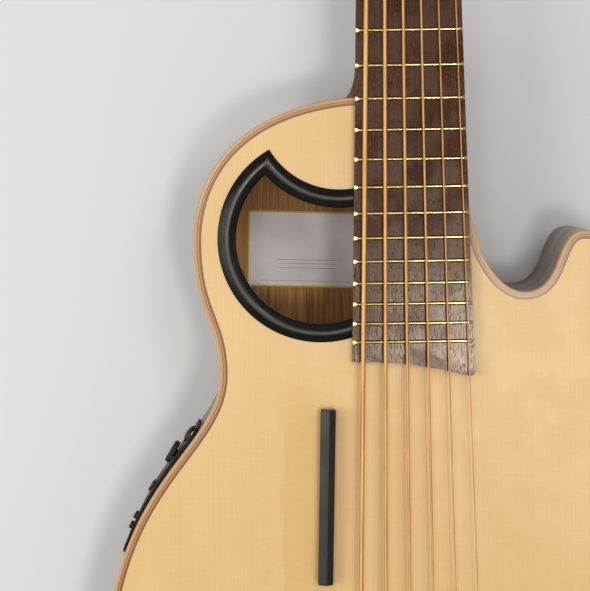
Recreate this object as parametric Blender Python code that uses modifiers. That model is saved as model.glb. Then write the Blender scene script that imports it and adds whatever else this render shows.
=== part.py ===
"""Six-string acoustic bass guitar, lying on its back.

Metres, +Z up.  The origin is on the outer face of the back, under the saddle, on the centreline.
+Y runs towards the headstock and +X towards the thin strings.
"""

import math

import bmesh
import bpy
from mathutils import Matrix, Vector
from mathutils.geometry import interpolate_bezier

# Clearance between pieces that touch
GAP = 0.0003

# Strings and fingerboard
SCALE_LENGTH = 0.864
FRET_COUNT = 24
STRING_NAMES = ("low_b", "e", "a", "d", "g", "c")
STRING_DIAMETERS = (0.0033, 0.00267, 0.00216, 0.00165, 0.00114, 0.00081)
STRING_SPAN_SADDLE = 0.0830
STRING_SHIFT_SADDLE = 0.0018
STRING_SPACING_NUT = 0.0084
STRING_SHIFT_NUT = 0.0008
BOARD_WIDTH_NUT = 0.0533
BOARD_WIDTH_LAST_FRET = 0.0842
BOARD_THICK = 0.0065
BOARD_END_Y = 0.2022
BOARD_TREBLE_END_Y = 0.1914
BOARD_CORNER = 0.003
FRET_WIDE = 0.0026
FRET_CROWN_WIDE = 0.0010
FRET_HIGH = 0.0012
FRET_END_SLOPE = 0.0008
FRET_END_INSET = 0.0002
FRET_TANG = 0.0008
NUT_LONG = 0.006
NUT_HIGH = 0.0040
ACTION_NUT = 0.0017
ACTION_SADDLE = 0.0064

# Body
BODY_DEPTH = 0.100
NECK_JOINT_Y = 0.386
TAIL_Y = -0.150
NECK_JOINT_BASS = 0.0416
NECK_JOINT_TREBLE = 0.034
UPPER_HALF = 0.152
UPPER_Y = 0.2862
WAIST_HALF = 0.135
WAIST_Y = 0.1952
LOWER_HALF = 0.2204
LOWER_Y = -0.0318
CUTAWAY_WALL = (0.0465, 0.285)
CUTAWAY_BOTTOM = (0.079, 0.249)
HORN_TIP = (0.121, 0.291)
HORN_SIDE = (0.1495, 0.262)
TOP_THICK = 0.0035
BACK_THICK = 0.0032
SIDE_THICK = 0.0025
BINDING_WIDE = 0.0023
BINDING_HIGH = 0.007
PURFLING_WIDE = 0.0033
PURFLING_DEEP = 0.002
LINING_WIDE = 0.006
LINING_HIGH = 0.012
NECK_BLOCK_LONG = 0.050
NECK_BLOCK_HALF = 0.038
TAIL_BLOCK_LONG = 0.022
TAIL_BLOCK_HALF = 0.045
BRACE_WIDE = 0.009
TOP_BRACE_HIGH = 0.011
BACK_BRACE_HIGH = 0.014
BRACE_MARGIN = 0.028
CENTRE_STRIP_HALF = 0.010
CENTRE_STRIP_HIGH = 0.0025
BRACE_FOOT_PAST_PLATE = 0.064
BRACE_FOOT_DROP = 0.050
BASS_BRACE_HEAD = (0.098, 0.240)
TREBLE_BRACE_HEAD_X = -0.052
TONE_BRACE_END = (0.045, -0.112)
TONE_BRACE_START_SHARE = 0.16
BACK_RUNG_ROWS = (0.092, -0.022)

# Sound hole and its moulded edge
HOLE_CENTRE = (-0.0629, 0.2879)
HOLE_EDGE_RADIUS = 0.0721
BITE_CENTRE = (-0.0487, 0.3792)
BITE_EDGE_RADIUS = 0.0569
HOLE_EDGE_WIDE = 0.0128
HOLE_EDGE_OVERLAP = 0.006
HOLE_EDGE_HIGH = 0.003
HOLE_EDGE_DEEP = 0.0012
HOLE_UNDER_BOARD = 0.004

# Label on the inside of the back
LABEL_CENTRE = (-0.0724, 0.2765)
LABEL_SIZE = (0.088, 0.0565)
LABEL_THICK = 0.0006
LABEL_TILT = math.radians(-2.1)

# Thumb rest
THUMB_REST_CENTRE = (-0.0615, 0.1082)
THUMB_REST_SIZE = (0.0106, 0.1227)
THUMB_REST_TILT = math.radians(-1.73)
THUMB_REST_HIGH = 0.0125
THUMB_REST_SHOULDER = 0.0100
THUMB_REST_FOOT = 0.020
THUMB_REST_UNDERCUT = 0.0035

# Bridge
BRIDGE_HALF = 0.086
BRIDGE_FRONT = 0.010
BRIDGE_REAR = 0.025
BRIDGE_CORNER = 0.006
BRIDGE_DECK_HIGH = 0.0068
BRIDGE_RAIL_HIGH = 0.0112
BRIDGE_RAIL_HALF = 0.053
BRIDGE_RAIL_LONG = 0.013
BRIDGE_HOLE_HIGH = 0.0084
SADDLE_THICK = 0.0032
SADDLE_HALF = 0.047
SADDLE_SLOT_DEEP = 0.0045
PICKUP_HIGH = 0.0012
BALL_RADIUS = 0.0029
BALL_LONG = 0.0040
BRIDGE_PLATE_HALF = 0.112
BRIDGE_PLATE_THICK = 0.003
BRIDGE_PLATE_PAST_REAR = 0.003
BRIDGE_PLATE_PAST_FRONT = 0.006

# Neck and heel
NECK_DEPTH_NUT = 0.021
NECK_DEPTH_BODY = 0.0245
HEEL_LONG = 0.024
HEEL_CURVE_LONG = 0.052
HEEL_FOOT_HALF = 0.018
HEEL_FLARE = 0.0058
TENON_HALF = 0.012
TENON_LONG = 0.022
TENON_LOW = 0.020
TENON_HIGH = 0.082
ROD_START_Y = 0.410
ROD_WIDE = 0.006
ROD_HIGH = 0.0085
ROD_AXIS_DROP = 0.0065
ROD_NUT_RADIUS = 0.0035
ROD_NUT_LONG = 0.012

# Headstock, in its own frame: u across, v along it, w out of its front face
HEADSTOCK_ANGLE = math.radians(12)
HEADSTOCK_THICK = 0.014
HEADSTOCK_LONG = 0.188
HEADSTOCK_WIDE_HALF = 0.045
HEADSTOCK_END_HALF = 0.039
HEADSTOCK_SHOULDER = 0.032
HEADSTOCK_CROWN = 0.006
FACEPLATE_THICK = 0.0015
COVER_LONG = 0.030
COVER_THICK = 0.002
POCKET_HALF = 0.0055
POCKET_LONG = 0.020

# Tuners
POST_ROW_HALF = 0.027
POST_FIRST = 0.046
POST_SPACING = 0.050
POST_RADIUS = 0.005
POST_WAIST_RADIUS = 0.0043
POST_HIGH = 0.0205
BUSHING_RADIUS = 0.0064
BUSHING_FLANGE_RADIUS = 0.0082
BUSHING_FLANGE_THICK = 0.0022
COLLAR_HIGH = 0.0010
GEAR_TEETH = 16
GEAR_RADIUS = 0.0085
GEAR_TOOTH = 0.0012
GEAR_THICK = 0.005
WORM_RADIUS = 0.004
WORM_LONG = 0.012
SHAFT_RADIUS = 0.0025
LUG_THICK = 0.004
PLATE_THICK = 0.0012
PLATE_HALF = 0.0145
PLATE_BEHIND = 0.009
KEY_REACH = 0.037
KEY_RADIUS = 0.0125
KEY_LOBE = 0.16
KEY_THICK = 0.0050
KEY_POINTS = 18
ROUND_SIDES = 12

# String wraps on the posts
WRAP_TURNS = 2
WRAP_SPARE = 0.0008
WRAP_POINTS = 24
WRAP_RISE = 0.0006
WRAP_LEADS = 4
WRAP_LEAD_SHARE = 0.4

# Preamp in the bass side
PREAMP_Y_HIGH = 0.1530
PREAMP_Y_LOW = 0.0645
PANEL_HIGH = 0.062
PANEL_THICK = 0.0020
PANEL_CORNER = 0.008
PANEL_RIM = 0.005
PANEL_DOME_AT = 0.0432
PANEL_DOME_RADIUS = 0.0068
PANEL_DOME_PROUD = 0.0060
PREAMP_BOX_DEEP = 0.034
KNOB_RADIUS = 0.0085
KNOB_PROUD = 0.0074
KNOB_AT = 0.0262
CONTROL_ROW = 0.011
SLIDER_MIDDLE = -0.0021
SLIDER_SET = (0.0028, 0.0, -0.0028)
SLIDER_ROWS = (0.0195, 0.011, 0.0025)
SLIDER_TRAVEL = 0.009
SLIDER_SIZE = (0.0060, 0.0045)
SLIDER_PROUD = 0.0045
STEM_HALF = 0.0010
BUTTON_AT = (-0.0265, -0.0344)
BUTTON_RADIUS = 0.0030
BUTTON_PROUD = 0.0046
BUTTON_TRAVEL = 0.0015
DOOR_SIZE = (0.054, 0.0215)
DOOR_ROW = -0.0165
DOOR_SWING_ROOM = 0.0006
BATTERY_BAY = (0.0495, 0.0185, 0.0275)

# Strap button and output jack
JACK_RADIUS = 0.0060
JACK_BORE_RADIUS = 0.0033
JACK_BORE_DEEP = 0.027
JACK_FLANGE_RADIUS = 0.0115
JACK_KNOB_RADIUS = 0.0090
JACK_PROUD = 0.0150
JACK_INSIDE = 0.030
STRAP_BUTTON_RADIUS = 0.0075
STRAP_BUTTON_LONG = 0.0125
STRAP_BUTTON_HEIGHT = 0.030

# Inside leads
LEAD_DIAMETER = 0.0025
LEAD_HOLE_RADIUS = 0.0019
LEAD_INTO_CASE = 0.010
PICKUP_LEAD_DROPS = ((0, 0, 0.014), (-0.012, 0.006, 0.034), (-0.054, 0.037, 0.050))
JACK_LEAD_OVER_BRACE = ((-0.152, 0.030, 0.004), (-0.140, -0.022, 0.001))
JACK_LEAD_ON_FLOOR = ((-0.108, -0.066, 0.003), (-0.060, -0.086, 0.002), (-0.022, -0.092, 0.012))
JACK_LEAD_RISE = (-0.002, 0.016, -0.004)
JACK_LEAD_STRAIGHT = 0.006
JACK_LEAD_SUNK = 0.002

# Heights and places that follow from the sizes above
TOP_Z = BODY_DEPTH
BOARD_LOW = TOP_Z + GAP
BOARD_TOP = BOARD_LOW + BOARD_THICK
STRING_LOW_NUT = BOARD_TOP + ACTION_NUT
STRING_LOW_SADDLE = BOARD_TOP + ACTION_SADDLE
TOP_LOW = TOP_Z - TOP_THICK
INSIDE_LOW = BACK_THICK + GAP
INSIDE_TOP = TOP_LOW - GAP
SIDE_INNER = SIDE_THICK + GAP
LINING_INNER = SIDE_INNER + LINING_WIDE
NUT_FRONT_Y = SCALE_LENGTH + GAP
NUT_REAR_Y = SCALE_LENGTH + NUT_LONG
LUG_HALF = WORM_LONG / 2 + GAP + LUG_THICK
PLATE_LOW_W = -HEADSTOCK_THICK - GAP - PLATE_THICK
COLLAR_W = PLATE_LOW_W - COLLAR_HIGH
WORM_W = PLATE_LOW_W - GAP - WORM_RADIUS
GEAR_TOP_W = WORM_W + GEAR_THICK / 2
GEAR_LOW_W = WORM_W - GEAR_THICK / 2
WORM_OFFSET = GEAR_RADIUS + GAP + WORM_RADIUS
FACE_W = GAP + FACEPLATE_THICK
POST_V = [POST_FIRST + POST_SPACING * step for step in range(3)]
HEADSTOCK_FRAME = (Matrix.Translation((0, NUT_REAR_Y, TOP_Z))
                   @ Matrix.Rotation(-HEADSTOCK_ANGLE, 4, 'X'))


def start_scene():
    for old in list(bpy.data.objects):
        bpy.data.objects.remove(old)
    guitar = bpy.data.collections.new("acoustic_bass_guitar")
    cutters = bpy.data.collections.new("cutters")
    bpy.context.scene.collection.children.link(guitar)
    bpy.context.scene.collection.children.link(cutters)
    return guitar, cutters


GUITAR, CUTTERS = start_scene()
MATERIALS = {}


def material(name, colour, roughness, metallic=0.0):
    if name not in MATERIALS:
        made = bpy.data.materials.new(name)
        made.use_nodes = True
        shader = made.node_tree.nodes["Principled BSDF"]
        shader.inputs["Base Color"].default_value = (*colour, 1)
        shader.inputs["Roughness"].default_value = roughness
        shader.inputs["Metallic"].default_value = metallic
        MATERIALS[name] = made
    return MATERIALS[name]


def spruce():
    return material("spruce", (0.79, 0.57, 0.30), 0.45)


def maple():
    return material("maple", (0.72, 0.49, 0.30), 0.40)


def brown_line():
    return material("brown_line", (0.22, 0.09, 0.03), 0.45)


def body_wood():
    return material("body_wood", (0.10, 0.045, 0.018), 0.40)


def neck_wood():
    return material("neck_wood", (0.20, 0.085, 0.035), 0.45)


def dark_wood():
    return material("dark_wood", (0.055, 0.024, 0.012), 0.50)


def plain_wood():
    return material("plain_wood", (0.55, 0.38, 0.22), 0.60)


def black_plastic():
    return material("black_plastic", (0.012, 0.012, 0.011), 0.38)


def paper():
    return material("paper", (0.58, 0.55, 0.56), 0.80)


def bone():
    return material("bone", (0.80, 0.76, 0.64), 0.35)


def brass():
    return material("brass", (0.72, 0.52, 0.22), 0.28, 1.0)


def bronze():
    return material("bronze", (0.62, 0.36, 0.14), 0.32, 1.0)


def steel():
    return material("steel", (0.55, 0.55, 0.56), 0.30, 1.0)


def chrome():
    return material("chrome", (0.62, 0.62, 0.63), 0.14, 1.0)


# Outlines

def bezier(start, start_handle, end_handle, end, steps):
    """Points of one Bezier segment, without its last one."""
    corners = [Vector((x, y, 0)) for x, y in (start, start_handle, end_handle, end)]
    points = interpolate_bezier(*corners, steps + 1)
    return [(point.x, point.y) for point in points[:-1]]


def arc(centre, radius, start, end, steps):
    """Points on an arc from one angle to another, both ends included."""
    angles = [start + (end - start) * step / steps for step in range(steps + 1)]
    return [(centre[0] + radius * math.cos(a), centre[1] + radius * math.sin(a)) for a in angles]


def circle(centre, radius, sides):
    return arc(centre, radius, 0, 2 * math.pi, sides)[:-1]


def bass_half_outline():
    """Neck end to tail, down the bass side."""
    corner = (-NECK_JOINT_BASS, NECK_JOINT_Y)
    upper = (-UPPER_HALF, UPPER_Y)
    waist = (-WAIST_HALF, WAIST_Y)
    lower = (-LOWER_HALF, LOWER_Y)
    tail = (0, TAIL_Y)
    points = bezier(corner, (corner[0] - 0.0956, corner[1] - 0.0086),
                    (upper[0], upper[1] + 0.0302), upper, 8)
    points += bezier(upper, (upper[0], upper[1] - 0.050), (waist[0], waist[1] + 0.0368), waist, 5)
    points += bezier(waist, (waist[0], waist[1] - 0.0574), (lower[0], lower[1] + 0.1533), lower, 9)
    points += bezier(lower, (lower[0], lower[1] - 0.068), (-0.126, tail[1]), tail, 7)
    return points + [tail]


def treble_half_outline():
    """Tail to neck end, up the treble side and round the cutaway."""
    lower = (LOWER_HALF, LOWER_Y)
    waist = (WAIST_HALF, WAIST_Y)
    corner = (NECK_JOINT_TREBLE, NECK_JOINT_Y)
    wall_handle = (0.008, 0.030)
    points = bezier((0, TAIL_Y), (0.126, TAIL_Y), (lower[0], lower[1] - 0.068), lower, 7)[1:]
    points += bezier(lower, (lower[0], lower[1] + 0.1533), (waist[0], waist[1] - 0.0574), waist, 9)
    points += bezier(waist, (waist[0], waist[1] + 0.030), (HORN_SIDE[0], HORN_SIDE[1] - 0.030),
                     HORN_SIDE, 4)
    points += bezier(HORN_SIDE, (HORN_SIDE[0], HORN_SIDE[1] + 0.018),
                     (HORN_TIP[0] + 0.012, HORN_TIP[1]), HORN_TIP, 5)
    points += bezier(HORN_TIP, (HORN_TIP[0] - 0.022, HORN_TIP[1]),
                     (CUTAWAY_BOTTOM[0] + 0.028, CUTAWAY_BOTTOM[1]), CUTAWAY_BOTTOM, 7)
    points += bezier(CUTAWAY_BOTTOM, (CUTAWAY_BOTTOM[0] - 0.016, CUTAWAY_BOTTOM[1]),
                     (CUTAWAY_WALL[0] + wall_handle[0] / 2, CUTAWAY_WALL[1] - wall_handle[1] / 2),
                     CUTAWAY_WALL, 5)
    points += bezier(CUTAWAY_WALL,
                     (CUTAWAY_WALL[0] - wall_handle[0], CUTAWAY_WALL[1] + wall_handle[1]),
                     (corner[0], corner[1] - 0.045), corner, 3)
    return points + [corner]


def inset(loop, distance):
    """A counterclockwise loop moved inwards by a distance, corner for corner."""
    moved = []
    count = len(loop)
    for index, point in enumerate(loop):
        here = Vector(point)
        before = (here - Vector(loop[index - 1])).normalized()
        after = (Vector(loop[(index + 1) % count]) - here).normalized()
        normal_before = Vector((-before.y, before.x))
        normal_after = Vector((-after.y, after.x))
        bisector = (normal_before + normal_after).normalized()
        reach = distance / max(bisector.dot(normal_before), 0.3)
        moved.append(tuple(here + bisector * reach))
    return moved


BASS_HALF = bass_half_outline()
OUTLINE = BASS_HALF + treble_half_outline()
TAIL_INDEX = len(BASS_HALF) - 1


def board_half(y):
    """Half of the fingerboard's width at a place along it."""
    last_fret_y = SCALE_LENGTH * 2 ** (-FRET_COUNT / 12)
    share = (SCALE_LENGTH - y) / (SCALE_LENGTH - last_fret_y)
    return (BOARD_WIDTH_NUT + (BOARD_WIDTH_LAST_FRET - BOARD_WIDTH_NUT) * share) / 2


def angle_at_board(centre, radius, clearance):
    """The angle at which a circle's lower half meets the line beside the board's bass edge."""
    y = centre[1]
    for _ in range(30):
        x = -board_half(y) - clearance - centre[0]
        y = centre[1] - math.sqrt(max(radius ** 2 - x ** 2, 0))
    return math.atan2(y - centre[1], x)


def apex_angles(hole_radius, bite_radius):
    """Angles on both circles at which the hole's circle meets the bite on its left."""
    offset = Vector(BITE_CENTRE) - Vector(HOLE_CENTRE)
    reach = offset.length
    along = (hole_radius ** 2 - bite_radius ** 2 + reach ** 2) / (2 * reach)
    across = math.sqrt(hole_radius ** 2 - along ** 2)
    direction = offset.normalized()
    left = Vector((-direction.y, direction.x))
    apex = Vector(HOLE_CENTRE) + direction * along + left * across
    on_hole = apex - Vector(HOLE_CENTRE)
    on_bite = apex - Vector(BITE_CENTRE)
    return math.atan2(on_hole.y, on_hole.x), math.atan2(on_bite.y, on_bite.x)


def hole_path(shrink, clearance):
    """From the fingerboard's edge round the hole to the edge again, moved inwards by shrink."""
    hole_radius = HOLE_EDGE_RADIUS - shrink
    bite_radius = BITE_EDGE_RADIUS + shrink
    hole_apex, bite_apex = apex_angles(hole_radius, bite_radius)
    low_end = angle_at_board(HOLE_CENTRE, hole_radius, clearance)
    bite_end = angle_at_board(BITE_CENTRE, bite_radius, clearance)
    if bite_apex > 0:
        bite_apex -= 2 * math.pi
    round_side = arc(HOLE_CENTRE, hole_radius, low_end, hole_apex - 2 * math.pi, 22)
    bite_side = arc(BITE_CENTRE, bite_radius, bite_apex, bite_end, 8)
    return round_side + bite_side[1:]


# Solids

def link(name, mesh, look, parent=None, home=None):
    made = bpy.data.objects.new(name, mesh)
    (home or GUITAR).objects.link(made)
    if look:
        mesh.materials.clear()
        mesh.materials.append(look)
    if parent:
        made.parent = parent
    return made


def empty(name, matrix):
    made = bpy.data.objects.new(name, None)
    GUITAR.objects.link(made)
    made.matrix_world = matrix
    bpy.context.view_layer.update()
    return made


def weld(mesh, distance=0.00001):
    shape = bmesh.new()
    shape.from_mesh(mesh)
    bmesh.ops.remove_doubles(shape, verts=shape.verts, dist=distance)
    shape.to_mesh(mesh)
    shape.free()


def curve_to_mesh(name, curve, look, parent, home):
    """A curve object made a welded mesh object in the same place."""
    source = bpy.data.objects.new(name, curve)
    (home or GUITAR).objects.link(source)
    bpy.context.view_layer.update()
    graph = bpy.context.evaluated_depsgraph_get()
    mesh = bpy.data.meshes.new_from_object(source.evaluated_get(graph))
    bpy.data.objects.remove(source)
    bpy.data.curves.remove(curve)
    weld(mesh)
    return link(name, mesh, look, parent, home)


def plate(name, loops, low, high, look=None, parent=None, home=None):
    """A flat outline, with any holes as further loops, between two heights."""
    curve = bpy.data.curves.new(name, 'CURVE')
    curve.dimensions = '2D'
    curve.fill_mode = 'BOTH'
    curve.extrude = (high - low) / 2
    for loop in loops:
        spline = curve.splines.new('POLY')
        spline.points.add(len(loop) - 1)
        for point, (x, y) in zip(spline.points, loop):
            point.co = (x, y, 0, 1)
        spline.use_cyclic_u = True
    made = curve_to_mesh(name, curve, look, None, home)
    made.data.transform(Matrix.Translation((0, 0, (low + high) / 2)))
    if parent:
        made.parent = parent
    return made


def prism(name, outline, low, high, turn, look=None, parent=None, home=None):
    """A plate that is turned, so that its outline lies in another plane."""
    made = plate(name, [outline], low, high, look, None, home)
    made.data.transform(turn)
    if turn.determinant() < 0:
        made.data.flip_normals()
    if parent:
        made.parent = parent
    return made


# Turns an outline's (x, y) into (x, z), with the thickness along +Y
OUTLINE_UPRIGHT = Matrix(((1, 0, 0, 0), (0, 0, 1, 0), (0, 1, 0, 0), (0, 0, 0, 1)))


def box(name, low, high, look=None, parent=None, home=None):
    mesh = bpy.data.meshes.new(name)
    shape = bmesh.new()
    size = [b - a for a, b in zip(low, high)]
    middle = [(a + b) / 2 for a, b in zip(low, high)]
    bmesh.ops.create_cube(shape, size=1, matrix=Matrix.Translation(middle) @ Matrix.Diagonal((*size, 1)))
    shape.to_mesh(mesh)
    shape.free()
    return link(name, mesh, look, parent, home)


def rod(name, radius, start, end, sides=16, look=None, parent=None, home=None):
    """A cylinder between two points."""
    start, end = Vector(start), Vector(end)
    direction = end - start
    turn = direction.to_track_quat('Z', 'Y').to_matrix().to_4x4()
    mesh = bpy.data.meshes.new(name)
    shape = bmesh.new()
    bmesh.ops.create_cone(shape, cap_ends=True, segments=sides, radius1=radius, radius2=radius,
                          depth=direction.length,
                          matrix=Matrix.Translation((start + end) / 2) @ turn)
    shape.to_mesh(mesh)
    shape.free()
    return link(name, mesh, look, parent, home)


def turned(name, profile, sides, look=None, parent=None, home=None, place=None):
    """A profile of (radius, height) points, given from the bottom up, turned about Z."""
    mesh = bpy.data.meshes.new(name)
    points = [(radius, 0, height) for radius, height in reversed(profile)]
    mesh.from_pydata(points, [(i, i + 1) for i in range(len(points) - 1)], [])
    source = link(name, mesh, None, None, home)
    screw = source.modifiers.new("Turn", 'SCREW')
    screw.steps = sides
    screw.render_steps = sides
    screw.use_merge_vertices = True
    screw.merge_threshold = 0.00001
    made = baked(source)
    if place:
        made.data.transform(place)
    if look:
        made.data.materials.append(look)
    if parent:
        made.parent = parent
    return made


def tube(name, points, diameter, look=None, parent=None, home=None, resolution=2):
    curve = bpy.data.curves.new(name, 'CURVE')
    curve.dimensions = '3D'
    curve.bevel_depth = diameter / 2
    curve.bevel_resolution = resolution
    curve.use_fill_caps = True
    spline = curve.splines.new('POLY')
    spline.points.add(len(points) - 1)
    for point, place in zip(spline.points, points):
        point.co = (*place, 1)
    return curve_to_mesh(name, curve, look, parent, home)


def loft(name, sections, look=None, home=None):
    """A closed skin over sections that have the same number of points."""
    mesh = bpy.data.meshes.new(name)
    shape = bmesh.new()
    rings = [[shape.verts.new(point) for point in section] for section in sections]
    count = len(rings[0])
    for ring, following in zip(rings, rings[1:]):
        for index in range(count):
            after = (index + 1) % count
            shape.faces.new((ring[index], ring[after], following[after], following[index]))
    shape.faces.new(rings[0])
    shape.faces.new(rings[-1])
    bmesh.ops.recalc_face_normals(shape, faces=shape.faces)
    shape.to_mesh(mesh)
    shape.free()
    return link(name, mesh, look, None, home)


def baked(source):
    """The object with its modifiers applied."""
    bpy.context.view_layer.update()
    graph = bpy.context.evaluated_depsgraph_get()
    mesh = bpy.data.meshes.new_from_object(source.evaluated_get(graph))
    source.modifiers.clear()
    source.data = mesh
    return source


def hide_cutter(cutter):
    for collection in list(cutter.users_collection):
        collection.objects.unlink(cutter)
    CUTTERS.objects.link(cutter)
    cutter.hide_render = True
    cutter.display_type = 'WIRE'


def shape_with(target, tool, operation):
    """Cut, keep or join by another solid, which is then used up."""
    change = target.modifiers.new(operation.title(), 'BOOLEAN')
    change.operation = operation
    change.solver = 'EXACT'
    change.object = tool
    baked(target)
    bpy.data.objects.remove(tool)
    return target


def cut(target, *tools):
    """Cut a piece by solids that other pieces may share."""
    for tool in tools:
        if tool.name not in CUTTERS.objects:
            hide_cutter(tool)
        change = target.modifiers.new("Cut", 'BOOLEAN')
        change.operation = 'DIFFERENCE'
        change.solver = 'EXACT'
        change.object = tool
    return baked(target)


def gather(name, pieces, look, parent=None):
    """Separate solids kept as one named piece."""
    mesh = bpy.data.meshes.new(name)
    shape = bmesh.new()
    for piece in pieces:
        copy = piece.data.copy()
        if not parent:
            bpy.context.view_layer.update()
            copy.transform(piece.matrix_world)
        shape.from_mesh(copy)
        bpy.data.meshes.remove(copy)
    shape.to_mesh(mesh)
    shape.free()
    for piece in pieces:
        bpy.data.objects.remove(piece)
    return link(name, mesh, look, parent)


def bevelled(source, width, segments=1, angle=math.radians(40)):
    edge = source.modifiers.new("Edges", 'BEVEL')
    edge.width = width
    edge.segments = segments
    edge.limit_method = 'ANGLE'
    edge.angle_limit = angle
    return baked(source)


# Body

def make_soundboard():
    edge = BINDING_WIDE + GAP
    hole = hole_path(HOLE_EDGE_OVERLAP, -HOLE_UNDER_BOARD)
    lead_hole = circle((pickup_lead_x(), 0), LEAD_HOLE_RADIUS, 10)
    board = plate("soundboard", [inset(OUTLINE, edge), hole, lead_hole], TOP_LOW, TOP_Z, spruce())
    rebate = plate("purfling_rebate", [inset(OUTLINE, -edge), inset(OUTLINE, edge + PURFLING_WIDE + GAP)],
                   TOP_Z - PURFLING_DEEP, TOP_Z + PURFLING_DEEP)
    return cut(board, rebate)


def make_back():
    return plate("back_plate", [OUTLINE], 0, BACK_THICK, body_wood())


def make_bindings():
    plate("top_binding", [OUTLINE, inset(OUTLINE, BINDING_WIDE)], TOP_Z - BINDING_HIGH, TOP_Z, maple())
    start = BINDING_WIDE + GAP
    plate("top_purfling", [inset(OUTLINE, start), inset(OUTLINE, start + PURFLING_WIDE)],
          TOP_Z - PURFLING_DEEP + GAP, TOP_Z, brown_line())


def make_sides():
    """Two bent ribs that meet at the tail and under the neck."""
    inner = inset(OUTLINE, SIDE_THICK)
    low = INSIDE_LOW
    high = TOP_Z - BINDING_HIGH - GAP
    outer_end, inner_end = (0, NECK_JOINT_Y), (0, NECK_JOINT_Y - SIDE_THICK)
    bass_outer = [outer_end] + OUTLINE[:TAIL_INDEX + 1]
    bass_inner = [inner_end] + inner[:TAIL_INDEX + 1]
    treble_outer = OUTLINE[TAIL_INDEX:] + [outer_end]
    treble_inner = inner[TAIL_INDEX:] + [inner_end]
    ribs = []
    for name, outer_path, inner_path, side in (("bass_side", bass_outer, bass_inner, -1),
                                               ("treble_side", treble_outer, treble_inner, 1)):
        loop = outer_path + inner_path[::-1]
        loop = [(side * GAP / 2 if abs(x) < GAP / 2 else x, y) for x, y in loop]
        ribs.append(plate(name, [loop], low, high, body_wood()))
    return ribs


def inside_plate(margin, low, high):
    """The body's inside, drawn in by a margin, as a solid to keep things within."""
    return plate("inside", [inset(OUTLINE, margin)], low, high, home=CUTTERS)


def make_blocks():
    neck_face = NECK_JOINT_Y - SIDE_INNER
    neck_block = box("neck_block", (-NECK_BLOCK_HALF, neck_face - NECK_BLOCK_LONG, INSIDE_LOW),
                     (NECK_BLOCK_HALF, NECK_JOINT_Y, INSIDE_TOP), plain_wood())
    tail_block = box("tail_block", (-TAIL_BLOCK_HALF, TAIL_Y, INSIDE_LOW),
                     (TAIL_BLOCK_HALF, TAIL_Y + SIDE_INNER + TAIL_BLOCK_LONG, INSIDE_TOP), plain_wood())
    for block in (neck_block, tail_block):
        shape_with(block, inside_plate(SIDE_INNER, 0, TOP_Z), 'INTERSECT')
    cut(neck_block, *lining_rooms())
    cut(tail_block, *lining_rooms())
    return neck_block, tail_block


def lining_rooms():
    """Space for both linings, cut out of the blocks that they run past."""
    ring = [inset(OUTLINE, SIDE_INNER / 2), inset(OUTLINE, LINING_INNER + GAP)]
    return [plate("lining_room", ring, 0, INSIDE_LOW + LINING_HIGH + GAP),
            plate("lining_room", ring, INSIDE_TOP - LINING_HIGH - GAP, TOP_Z)]


def make_linings():
    """A strip along the top edge of the ribs and one along the back edge."""
    ring = [inset(OUTLINE, SIDE_INNER), inset(OUTLINE, LINING_INNER)]
    plate("back_lining", ring, INSIDE_LOW, INSIDE_LOW + LINING_HIGH, plain_wood())
    plate("top_lining", ring, INSIDE_TOP - LINING_HIGH, INSIDE_TOP, plain_wood())


def bar(name, start, end, low, high):
    """A brace between two places, upright on its edge."""
    start, end = Vector(start), Vector(end)
    along = (end - start).normalized()
    across = Vector((-along.y, along.x)) * BRACE_WIDE / 2
    loop = [tuple(start - across), tuple(end - across), tuple(end + across), tuple(start + across)]
    return plate(name, [loop], low, high)


def make_braces():
    """A crossed lattice with the bridge's plate under the top, and ladder bars on the back."""
    low = INSIDE_TOP - TOP_BRACE_HIGH
    below_hole = HOLE_CENTRE[1] - HOLE_EDGE_RADIUS - BRACE_WIDE
    braces = bar("top_braces", (-WAIST_HALF, below_hole), (WAIST_HALF, below_hole), low, INSIDE_TOP)
    foot_x = BRIDGE_PLATE_HALF + BRACE_FOOT_PAST_PLATE
    foot_y = LOWER_Y - BRACE_FOOT_DROP
    bass_foot, bass_head = Vector((-foot_x, foot_y)), Vector(BASS_BRACE_HEAD)
    treble_foot, treble_head = Vector((foot_x, foot_y)), Vector((TREBLE_BRACE_HEAD_X, below_hole))
    tone_start = bass_foot.lerp(bass_head, TONE_BRACE_START_SHARE)
    for start, end in ((bass_head, bass_foot), (treble_head, treble_foot), (tone_start, TONE_BRACE_END)):
        shape_with(braces, bar("brace", start, end, low, INSIDE_TOP), 'UNION')
    bridge_plate = box("bridge_plate",
                       (-BRIDGE_PLATE_HALF, -BRIDGE_REAR - BRIDGE_PLATE_PAST_REAR,
                        INSIDE_TOP - BRIDGE_PLATE_THICK),
                       (BRIDGE_PLATE_HALF, BRIDGE_FRONT + BRIDGE_PLATE_PAST_FRONT, INSIDE_TOP))
    shape_with(braces, bridge_plate, 'UNION')
    shape_with(braces, inside_plate(LINING_INNER + GAP, 0, TOP_Z), 'INTERSECT')
    braces.data.materials.append(plain_wood())

    strip_start = TAIL_Y + SIDE_INNER + TAIL_BLOCK_LONG + GAP
    strip_end = NECK_JOINT_Y - SIDE_INNER - NECK_BLOCK_LONG - GAP
    rungs = box("back_braces", (-CENTRE_STRIP_HALF, strip_start, INSIDE_LOW),
                (CENTRE_STRIP_HALF, strip_end, INSIDE_LOW + CENTRE_STRIP_HIGH))
    for y in (below_hole, *BACK_RUNG_ROWS):
        rung = bar("rung", (-LOWER_HALF, y), (LOWER_HALF, y), INSIDE_LOW, INSIDE_LOW + BACK_BRACE_HIGH)
        shape_with(rungs, rung, 'UNION')
    shape_with(rungs, inside_plate(BRACE_MARGIN, 0, TOP_Z), 'INTERSECT')
    rungs.data.materials.append(plain_wood())
    return braces


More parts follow.
